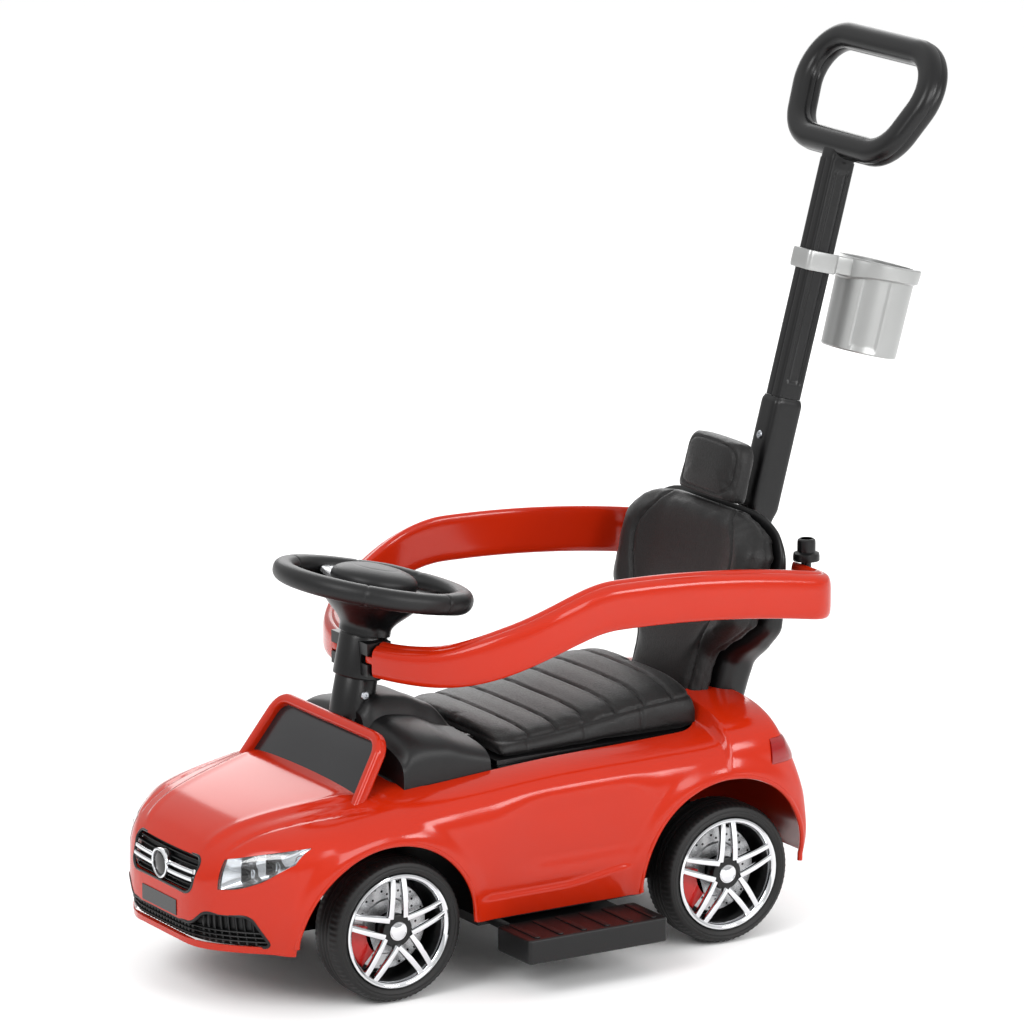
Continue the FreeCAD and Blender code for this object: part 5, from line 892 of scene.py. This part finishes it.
tongue = plate(rounded([(27, -217), (40, -215.5), (40, -198.5), (27, -200)], 1.5, 4), 300.6, 307.4, 0.6, 3)
for side, sign in SIDES:
    rider, way = f"rail_{side}", (sign, 1, 1)
    tube(f"rail_{side}_moulding", rail * way, red_abs, (f"rail_{side}_outer", f"rail_{side}_inner"), rider)
    tube(f"rail_{side}_tongue", tongue * way, red_abs, (), rider)
knob = turned([(0, 384.8), (7.0, 384.8), (8.6, 383.6), (9.0, 381.0), (9.0, 372.0), (12.5, 370.5), (13.0, 368.0),
               (13.0, 363.4), (0, 363.4)], 40)
piece("rail_pin_knobs", *gathered([knob + (sign * PIN_X, PIN_Y, 0) for _, sign in SIDES]), satin_pp)
print("rail:", rail.shape)

# %% [markdown]
# ## Steering wheel
# The rim is a moulded ring with thumb swells and stitched-looking seams; silver bezels dress the side spokes, a plain
# domed pad covers the hub, and a bowl below joins it to the column. Each bezel is a ring from the button's hole out to
# its own edge, found as a reach at every bearing. All are drawn in the frame of the leaning column.

# %% Rim, bezels and buttons
COLUMN, _ = leaning(-192.0, 368.0, 12.0)
WHEEL_RADIUS, GRIP = 87.0, 10.1
BUTTON = np.array([60.0, -1.0])
turn = circle(288)
swell = sum(bell(bearing_gap(turn, spot), 0.22) for spot in np.radians([40, 140]))
seams = sum(bell(bearing_gap(turn, spot), 0.012) for spot in np.radians([62, 118, 20, 160, 215, 325]))
thick = GRIP + 0.9 * swell - 0.8 * seams
ring_path = points_of(WHEEL_RADIUS * np.cos(turn), WHEEL_RADIUS * np.sin(turn), 0.0)
grip = sweep(ring_path, thick[:, None, None] * oval(1.0, 1.0, 2.2, 36), (0, 0, 1), True)
tube("steering_rim_grip", COLUMN(grip), black_pp, ("steering_rim",), "steering", looped=True)
bezel_outline = rounded([(43, -14), (70, -19), (78.5, -8), (78.5, 12), (66, 16), (43, 10)], 5, 16) - BUTTON
turn = circle(240)
bearing = np.arctan2(bezel_outline[:, 1], bezel_outline[:, 0])
edge = np.interp(turn, bearing, np.hypot(*bezel_outline.T), period=2 * math.pi)
hole = np.hypot(*oval(7.2, 6.8, 3.2, 240).T)
radial = np.stack([edge, edge, edge - 0.5, edge - 1.6, hole + 1.0, hole + 0.3, hole, hole])
level = np.array([-6.0, -3.0, -2.0, -1.4, -1.4, -1.7, -2.4, -6.0])[:, None]
off_x, off_y = radial * np.cos(turn), radial * np.sin(turn)
bezel = points_of(BUTTON[0] + off_x, BUTTON[1] + off_y, level + 0.14 * (17 + off_x))
cap = plate(oval(6.6, 6.2, 3.2, 36) + BUTTON, -3.0, 2.0, 1.4, 5)
for side, sign in SIDES:
    way, button = (sign, 1, 1), f"music_button_{side}"
    tube(f"spoke_bezel_{side}", COLUMN(bezel * way), silver_lacquer, (), "steering", looped=True)
    tube(f"{button}_cap", COLUMN(cap * way), gloss_black, (button,), button)
print("steering rim:", grip.shape, "bezel:", bezel.shape)

# %% Spoke covers, pad and bowl
PAD_RADIUS, BOWL_FOOT = 42.0, -46.4
lower_spoke = plate(rounded([(-9, 30), (9, 30), (12, 80), (-12, 80)], 4, 5), -11.0, -3.2, 2.0)
tube("lower_spoke_cover", COLUMN(lower_spoke), satin_pp, (), "steering")
side_spokes = plate(rounded([(-80, -18), (80, -18), (80, 16), (-80, 16)], 8, 6), -11.0, -5.4, 2.4)
tube("side_spoke_cover", COLUMN(side_spokes), satin_pp, ("steering_spokes",), "steering")
turn = np.linspace(0, 1, 40) * math.pi / 2
dome = points_of(PAD_RADIUS * np.sin(turn), 4.0 + 15.4 * np.cos(turn) ** 0.75)
pad_profile = np.concatenate([dome, [(PAD_RADIUS, 1.5), (41.5, 0.2), (40.0, -0.4), (0.0, -0.4)]])
pad_profile[:, 1] -= 0.5 * bell(pad_profile[:, 0] - 22, 0.9) * (pad_profile[:, 1] > 3)
tube("horn_pad_cover", COLUMN(turned(pad_profile, 96)), black_pp, ("horn_pad",), "horn_pad")
t = np.linspace(0, 1, 26)
bowl_side = points_of(25.0 + 22.5 * ramp(t, 0.15, 1) ** 0.9, BOWL_FOOT + 36 * t)
bowl_profile = np.concatenate([[(0, BOWL_FOOT)], bowl_side, [(47.0, -9.6), (45.0, -8.6), (0, -8.6)]])
tube("hub_bowl_cover", COLUMN(turned(bowl_profile, 80)), satin_pp, ("hub_bowl",), "steering")
print("pad:", pad_profile.shape, "bowl:", bowl_profile.shape)

# %% [markdown]
# The column is a fixed tube; the ring of a collar grips it where both rails end in front.

# %% Column tube and collar
sleeve = turned([(7.5, -127.0), (20.6, -127.0), (20.6, -91.0), (20.2, -90.2), (20.2, -47.4), (7.5, -47.4)], 64)
collar = turned([(20.3, -88.8), (23.0, -88.8), (23.6, -88.0), (23.6, -50.5), (22.6, -48.2), (20.3, -47.6)], 64)
tube("column_sleeve", COLUMN(sleeve), satin_pp, looped=True)
tube("collar_ring", COLUMN(collar), satin_pp, looped=True)
screw = turned([(0, -1.0), (4.2, -1.0), (4.2, 0.6), (3.4, 1.4), (1.6, 1.5), (1.3, 0.6), (0, 0.6)], 28)
tube("column_screw", COLUMN(screw[..., [2, 1, 0]] * (1, 1, -1) + (20.5, 0, -104.0)), zinc)
print("column:", sleeve.shape, collar.shape)

# %% [markdown]
# ## Console
# The console is a black cover that fills the cockpit from the windscreen to the seat. Its section is a softened box; a
# ridge with a rounded rear end runs back from the foot of the column.

# %% Console cover
CONSOLE_FRONT, CONSOLE_REAR, CONSOLE_HALF, CONSOLE_FOOT, POD = -223.0, -127.2, 109.2, 188, 16.0
console_y = np.linspace(CONSOLE_FRONT, CONSOLE_REAR, 66)[:, None]
console_top = flowing(console_y, (CONSOLE_FRONT, -200, -175, -150, CONSOLE_REAR), (243.0, 250.5, 247.0, 236.0, 228.0))
turn = np.linspace(0, math.pi, 150)
u, v = squared_circle(turn, 7)
console_x = CONSOLE_HALF * u
end_round = 7.0 * (1 - ramp(console_y, CONSOLE_FRONT, -209)) ** 2
shoulder = (12.0 - 5.0 * ramp(console_y, -215, -130)) * (np.abs(console_x) / 109) ** 2
console_z = CONSOLE_FOOT + (console_top - CONSOLE_FOOT - shoulder - end_round) * v
pod_round = np.clip(1 - (np.clip(np.abs(console_x) - 14, 0, None) / 22) ** 5, 0, 1)
console_z = console_z + POD * pod_round * np.sqrt(ramp(-console_y, 127.0, 146.0)) * ramp(np.sin(turn), 0.3, 0.9)
tube("console_cover", points_of(console_x, console_y, console_z), black_pp, ("console",))
ear_outline = rounded([(-130, 214.3), (-118.5, 214.3), (-117.8, 219), (-118.5, 223.7), (-130, 223.7)], 1.6, 4)
hinge_ears = [sideways(plate(ear_outline, x - 3, x + 3, 0.5, 3)) for x in (26.6, 55.4, -26.6, -55.4)]
piece("console_hinge_ears", *gathered(hinge_ears), satin_pp)
print("console:", console_z.shape)

# %% [markdown]
# ## Seat, backrest and headrest
# The padding is foam under polyurethane leather. Each pad starts as a slightly slim closed form, is remeshed to an even
# skin, and is blown up a little as cloth under pressure, with how far a point may move capped. Seams and channels are
# then drawn in along the normals, as thread pulls the cover into the foam.

# %% Inflating a pad
PRESSURE, CLOTH_STEPS, PAD_CREASE = 4.0, 20, 60


def places(mesh):
    """Points of a mesh in metres."""
    flat = np.empty(3 * len(mesh.vertices))
    mesh.vertices.foreach_get("co", flat)
    return flat.reshape(-1, 3)


def inflate(name, points, cap_mm, voxel_mm):
    """Closed form in mm, remeshed, blown up as cloth with capped movement, then subdivided once; a mesh in metres."""
    item = bpy.data.objects.new(name, mesh_of(name, points, tube_faces(*points.shape[:2])))
    scene.collection.objects.link(item)
    even_skin = item.modifiers.new("even", "REMESH")
    even_skin.mode, even_skin.voxel_size = "VOXEL", voxel_mm * MM
    start = bpy.data.meshes.new_from_object(evaluated(item))
    item.modifiers.clear()
    item.data = start
    before = places(start)
    after = before.copy()
    cloth = item.modifiers.new("cloth", "CLOTH")
    cloth.settings.use_pressure = True
    cloth.settings.uniform_pressure_force = PRESSURE
    cloth.settings.effector_weights.gravity = 0.0
    cloth.settings.quality = 4
    cloth.point_cache.frame_start, cloth.point_cache.frame_end = 1, CLOTH_STEPS
    for step in range(1, CLOTH_STEPS + 1):
        scene.frame_set(step)
    after = places(evaluated(item).to_mesh())
    item.modifiers.clear()
    scene.frame_set(1)
    move = after - before
    length = np.linalg.norm(move, axis=1, keepdims=True)
    after = before + move * np.minimum(1, cap_mm * MM / np.maximum(length, 1e-9))
    start.vertices.foreach_set("co", after.ravel())
    finer = item.modifiers.new("finer", "SUBSURF")
    finer.levels = finer.render_levels = 1
    made = bpy.data.meshes.new_from_object(evaluated(item))
    bpy.data.objects.remove(item)
    print(name, "moved up to", round(float(length.max() / MM), 1), "mm, kept to", cap_mm)
    return made


def sewn(name, mesh, seams, node, body="car"):
    """Leather cover that stands for a node: points drawn in along their normals by seams(points in mm), in mm."""
    points, normals = places(mesh) / MM, np.empty(3 * len(mesh.vertices))
    mesh.vertex_normals.foreach_get("vector", normals)
    points = points + seams(points)[:, None] * normals.reshape(-1, 3)
    mesh.vertices.foreach_set("co", (points * MM).ravel())
    mesh.update()
    cover = dress(bpy.data.objects.new(name, mesh), seat_leather, (node,), body, crease=PAD_CREASE)
    print(name, len(mesh.polygons), "faces")


# %% Seat cushion
SEAT_FRONT, SEAT_REAR, SEAT_FOOT, SEAT_HALF, SEAT_CROWN = -112.0, 113.0, 208.4, 102.0, 5.0
CHANNELS, CHANNEL_GAP = (-78.0, -46.0, -14.0, 18.0, 50.0, 82.0), 32.0


def seat_height(share):
    """Top of the seat along its length, rising to the rear."""
    return 229 + 26 * ramp(share, 0.1, 1.0)


def seat_seams(points):
    """Channels across the seat, the seam along its upper edge and short upright seams down its skirt."""
    x, y, z = points.T
    share = np.clip((y - SEAT_FRONT) / (SEAT_REAR - SEAT_FRONT), 0, 1)
    edge = SEAT_FOOT + (seat_height(share) - SEAT_FOOT) * 0.66
    top = ramp(z - edge, -1.0, 3.0)
    bowed = y - 6 * (x / 100) ** 2
    line = sum(bell(bowed - spot, 1.6) for spot in CHANNELS)
    puff = 0.42 * np.cos(2 * math.pi * (bowed - CHANNELS[0]) / CHANNEL_GAP)
    skirt = sum(bell(y - spot, 1.5) for spot in CHANNELS[::2]) * (1 - top) * ramp(np.abs(x), 80, 95)
    rest = ramp(z, SEAT_FOOT + 1.0, SEAT_FOOT + 6.0)
    return rest * (-2.2 * line * top - puff * top - 1.4 * bell(z - edge, 1.5) - 1.2 * skirt)


share = (1 - np.cos(np.linspace(0.02, math.pi - 0.02, 64)))[:, None] / 2
seat_y = SEAT_FRONT + (SEAT_REAR - SEAT_FRONT) * share
end = (1 - np.abs(2 * share - 1) ** 9) ** (1 / 9)
u, v = squared_circle(np.linspace(0, math.pi, 72), 4.4)
seat_x = SEAT_HALF * (0.9 + 0.1 * end) * u
crown = SEAT_CROWN * (1 - (seat_x / SEAT_HALF) ** 2)
seat_z = SEAT_FOOT + ((seat_height(share) - SEAT_FOOT - SEAT_CROWN) * end + crown) * v
seat_mesh = inflate("seat_form", points_of(seat_x, seat_y, seat_z), 4.0, 3.4)
sewn("seat_cushion_cover", seat_mesh, seat_seams, "seat_cushion", "seat_lid")

# %% Backrest pad
BACK, up_the_back = leaning(123.0, 205.0, 15.0)
BACK_Z = np.array([0.0, 30.0, 62.0, 88.0, 112.0, 143.0, 174.0, 197.0, 209.0, 214.0])
BACK_HALF = np.array([64.0, 64.5, 68.0, 98.0, 119.0, 121.0, 119.5, 107.0, 84.0, 60.0])
BACK_TOP, PAD_BACK = 214.0, 21.5


def back_seams(points):
    """Bolster seams up both sides, the seam that crosses the waist and one round the rim."""
    x, y, z = up_the_back(points).T
    side = flowing(np.clip(z, 0, BACK_TOP), (0, 62, 112, 160, BACK_TOP), (50.0, 52.0, 74.0, 86.0, 52.0))
    face = ramp(-y, -17.0, -12.0)
    bolster = bell(np.abs(x) - side, 1.9)
    waist = bell(z - 92 - 14 * (x / 90) ** 2, 1.9) * ramp(side - np.abs(x), -2, 2)
    return -2.8 * face * bolster - 2.0 * face * waist - 1.3 * bell(y - 13.0, 1.4)


pad_z = BACK_TOP * (1 - np.cos(np.linspace(0.05, math.pi - 0.05, 70)))[:, None] / 2 + 0.6
wing = ramp(pad_z, 60, 112) * (1 - 0.75 * ramp(pad_z, 172, BACK_TOP))
u = np.linspace(-1, 1, 61)
tip = (1 - np.abs(2 * pad_z / (BACK_TOP + 1.2) - 1) ** 10) ** 0.1
face = 4.0 - 13.0 * wing * ramp(np.abs(u), 0.45, 0.95) - 3.0 * (1 - wing) * (1 - u ** 2)
front_y = PAD_BACK - (PAD_BACK - face) * (1 - np.abs(u) ** 8) ** 0.125 * tip
pad_front = points_of(flowing(pad_z, BACK_Z, BACK_HALF) * u, front_y, pad_z)
pad_back = pad_front * (1, 0, 1) + (0, PAD_BACK + 0.1, 0)
pad_mesh = inflate("backrest_form", BACK(closed_sheet(pad_front, pad_back)), 5.0, 4.5)
sewn("backrest_cover", pad_mesh, back_seams, "backrest_pad")

# %% Headrest
HEAD_MID = 243.6


def head_seams(points):
    """Piped seam where the front panel of the headrest meets its side panel."""
    x, y, z = up_the_back(points).T
    ring = np.abs(x / 42) ** 4 + np.abs((z - HEAD_MID) / 25) ** 4
    return -1.8 * bell(ring - 1.0, 0.14) * ramp(-y, -16, -11)


rise = np.linspace(-1, 1, 50)[:, None]
power = np.where(rise > 0, 3.8, 9.0)
shrink = (1 - np.abs(rise) ** power) ** (1 / power)
u, v = oval(1.0, 1.0, 3.6, 60).T
head_x = (48.6 - 1.5 * rise) * (0.5 + 0.5 * shrink) * u
head_form = points_of(head_x, 13.0 + 14.2 * (0.45 + 0.55 * shrink) * v, HEAD_MID + 30.0 * rise)
head_mesh = inflate("headrest_form", BACK(head_form), 2.0, 3.4)
sewn("headrest_cover", head_mesh, head_seams, "headrest")

# %% [markdown]
# Behind the pad a hard shell stiffens the back, and two ears carry the rail pins. Its back is a rounded trough that
# gets shallower to the top.

# %% Backrest shell and ears
SHELL_FACE = 22.6
shell_z = np.linspace(-24.0, 213.0, 80)[:, None]
shell_half = flowing(np.clip(shell_z, 0, BACK_TOP), BACK_Z, BACK_HALF + 1.5)
deep = np.maximum(71 - 45 * np.clip(shell_z - 62, 0, None) / 152, 25.0)
u, v = oval(1.0, 1.0, 3.4, 84).T
shell_y = np.maximum(SHELL_FACE + (deep - SHELL_FACE) * (v + 1) / 2, SHELL_FACE)
shell_back = points_of(shell_half * u, shell_y, shell_z)
tube("backrest_shell_moulding", BACK(shell_back), satin_pp, ("backrest_shell",))
ear_plan = rounded([(68, 166), (84, 150), (112, 214), (127, 218), (127, 236), (107, 238), (70, 184)], 7, 6)
ear = plate(ear_plan, 334.2, 341.8, 1.2)
piece("rail_pin_ears", *gathered([ear, mirrored(ear)]), satin_pp)
print("backrest shell:", shell_back.shape)

# %% [markdown]
# ## Push handle and cup holder
# The pole is two half shells screwed together, with a long panel sunk in each side. It forks into a closed loop whose
# bar is thick enough for a grown-up's grip and shows its mould seam. A socket behind the backrest holds its foot.

# %% Pole, neck and loop
POLE, _ = leaning(199.5, 215.0, 14.9)
POLE_X, POLE_Y, LOOP_FOOT = 12.0, 14.5, 546
LOOP_LEAN = math.radians(14.2)
pole_z = np.concatenate([np.linspace(292.5, 320, 24), np.linspace(321, 500, 60), np.linspace(501, 530, 26)])[:, None]
u, v = oval(1.0, 1.0, 6.5, 120).T
sunk = 1.5 * ramp(pole_z, 306, 311) * ramp(-pole_z, -522, -517) * ramp(-np.abs(v), -0.66, -0.58)
rib = 0.8 * bell(np.abs(v) - 0.36, 0.06)
groove = 0.8 * ramp(np.abs(v), 0.9, 0.98) * bell(u, 0.07)
pole_x = (POLE_X - ramp(np.abs(u), 0.9, 0.98) * (sunk - rib * (sunk > 0.7))) * u
pole = points_of(pole_x, (POLE_Y - groove) * v, pole_z)
tube("handle_pole", POLE(pole), satin_pp, ("handle_front_shell", "handle_back_shell"))
neck_z = np.linspace(528, 556, 22)[:, None]
widening = ramp(neck_z, 530, 556)
u, v = oval(1.0, 1.0, 5.0, 72).T
neck_lean = np.clip(neck_z - LOOP_FOOT, 0, None) * math.tan(LOOP_LEAN)
neck = points_of((POLE_X + 20.0 * widening ** 2) * u, (14.3 - 3.0 * widening) * v + neck_lean, neck_z)
tube("handle_neck", POLE(neck), satin_pp)
corner_reach = np.array([28.6, 28.6, 61.6, 61.6])[:, None]
loop_x, loop_up = evenly(rounded([(-77, 0), (77, 0), (119, 107), (-119, 107)], corner_reach, 24), 260, True).T
tilt_s, tilt_c = math.sin(LOOP_LEAN), math.cos(LOOP_LEAN)
loop_path = points_of(loop_x, loop_up * tilt_s, LOOP_FOOT + loop_up * tilt_c)
bar = oval(13.2, 13.2, 2.7, 48)
bearing = np.abs(np.arctan2(bar[:, 1], bar[:, 0]))
bar_seam = 1.0 - 0.06 * bell(bearing, 0.09) - 0.06 * bell(bearing - math.pi, 0.09)
loop = sweep(loop_path, bar * bar_seam[:, None], (0, tilt_c, -tilt_s), True)
tube("handle_loop", POLE(loop), satin_pp, looped=True)
print("pole:", pole.shape, "loop:", loop.shape)

# %% Socket and screw
socket_z = np.concatenate([np.linspace(-68, 150, 40), np.linspace(152, 186, 14), np.linspace(188, 284, 40),
                           np.linspace(285, 292, 8)])[:, None]
sleeve_wall = 2.7 * ramp(socket_z, 168, 184) - 1.8 * ramp(socket_z, 284, 293) ** 2
u, v = oval(1.0, 1.0, 5.5, 64).T
socket = points_of((POLE_X + sleeve_wall) * u, (POLE_Y + sleeve_wall) * v, socket_z)
tube("pole_socket_sleeve", POLE(socket), satin_pp, ("pole_socket",))
tube("lock_screw_head", POLE(ahead(screw) + (0, -17.2, 252.0)), zinc, ("lock_screw",))
print("socket:", socket.shape)

# %% [markdown]
# The cup is a tapered tub with sunk side panels under a flared band; a clip on the band snaps round the pole.

# %% Cup and clip
CUP_SET, CUP_BORE, CUP_LOW, CUP_TOP = 76.0, 36.0, 350.0, 440.0
turn = circle(144)
facet = sum(ramp(-np.abs(bearing_gap(turn, spot)), -0.38, -0.34) for spot in np.radians([-31, 211]))
wall_z = np.linspace(CUP_LOW + 1.5, 428, 40)
cup_z = np.concatenate([[CUP_LOW] * 2, wall_z, [CUP_TOP] * 2, [CUP_LOW + 2.5] * 2])[:, None]
cup_r = np.concatenate([[0.0, 36.6], np.linspace(37.8, 38.8, 40), [38.8, CUP_BORE], [CUP_BORE, 0.0]])[:, None]
wall_face = np.concatenate([[0] * 2, ramp(wall_z, CUP_LOW, 358) * ramp(-wall_z, -427, -424), [0] * 4])[:, None]
cup_r = cup_r - 1.5 * wall_face * facet
cup = points_of(cup_r * np.cos(turn), cup_r * np.sin(turn) + CUP_SET, cup_z)
tube("cup_tub", POLE(cup), cup_lacquer, ("cup_holder",))
band_r, band_z = np.array([(36.2, 439.8), (38.0, 440.6), (42.0, 440.6), (43.4, 439.4), (43.5, 436.0), (42.6, 427.0),
                           (39.5, 425.0), (37.0, 427.5)]).T[..., None]
dip = 7.0 * bell(bearing_gap(turn, -math.pi / 2), 0.7) * (band_z < 430)
band = points_of(band_r * np.cos(turn), band_r * np.sin(turn) + CUP_SET, band_z - dip)
tube("cup_band", POLE(band), cup_lacquer, looped=True)
grip_line = rounded([(-14.6, -17.0), (14.6, -17.0), (14.6, 17.0), (-14.6, 17.0)], 4)
clip = sweep(points_of(*grip_line.T, 430.0), oval(2.0, 9.8, 5, 20), (0, 0, 1), True)
tube("cup_clip", POLE(clip), cup_lacquer, looped=True)
bridge = plate(rounded([(-13, 12), (13, 12), (15, 42), (-15, 42)], 3, 5), 421.5, 439.5, 1.5)
tube("cup_bridge", POLE(bridge), cup_lacquer)
print("cup:", cup.shape, "band:", band.shape)

# %% [markdown]
# ## Foot steps and running gear
# The steps are ribbed black trays that slide in under the floor. What lies below and inside keeps its CAD form and only
# gets its finish.

# %% Foot steps
STEP_FRONT, STEP_LONG, STEP_RIBS, RIB_HALF = -143, 156, 6, 3.2


def slab(left, right, front, rear, corner, count, low, high, rim, steps):
    """Flat block with rounded corners and rims."""
    outline = rounded([(left, front), (right, front), (right, rear), (left, rear)], corner, count)
    return plate(outline, low, high, rim, steps)


tray = slab(144, 204.5, -142.5, 12.5, 4, 6, 34.5, 58.6, 2.2, 5)
ribs, rib_faces = gathered([slab(149, 200, y - RIB_HALF, y + RIB_HALF, 2.5, 5, 58.0, 60.0, 0.8, 3)
                            for y in STEP_FRONT + STEP_LONG * (np.arange(STEP_RIBS) + 0.5) / STEP_RIBS])
slide = slab(54.5, 146, -124.5, -5.5, 2, 4, 46.6, 57.8, 0.8, 3)
for side, sign in SIDES:
    way, rider = (sign, 1, 1), f"foot_step_{side}"
    tube(f"{rider}_tray", tray * way, black_pp, (rider,), rider)
    piece(f"{rider}_ribs", ribs * way, rib_faces, black_pp, (), rider)
    tube(f"{rider}_tongue", slide * way, satin_pp, (), rider)
print("foot steps:", len(SIDES), "with", STEP_RIBS, "ribs each")

# %% Finishes of the CAD nodes that stay in sight
DISHES = tuple(f"wheel_dish_{end}_{side}" for end, _ in ENDS for side, _ in SIDES)
STAY = {satin_pp: ("floor_pan", "front_beam", "knuckle_left", "knuckle_right", "tie_rod", "storage_tub", "seat_board",
                   "rail_collar", "column_tube", "rail_pins") + DISHES,
        zinc: ("rear_axle", "seat_hinge_pin", "steering_shaft"), gloss_black: ("plate_blank",)}
for finish, names in STAY.items():
    for name in names:
        frame["nodes"][name].data.materials.clear()
        frame["nodes"][name].data.materials.append(finish)
print("nodes with CAD form:", sum(len(names) for names in STAY.values()))
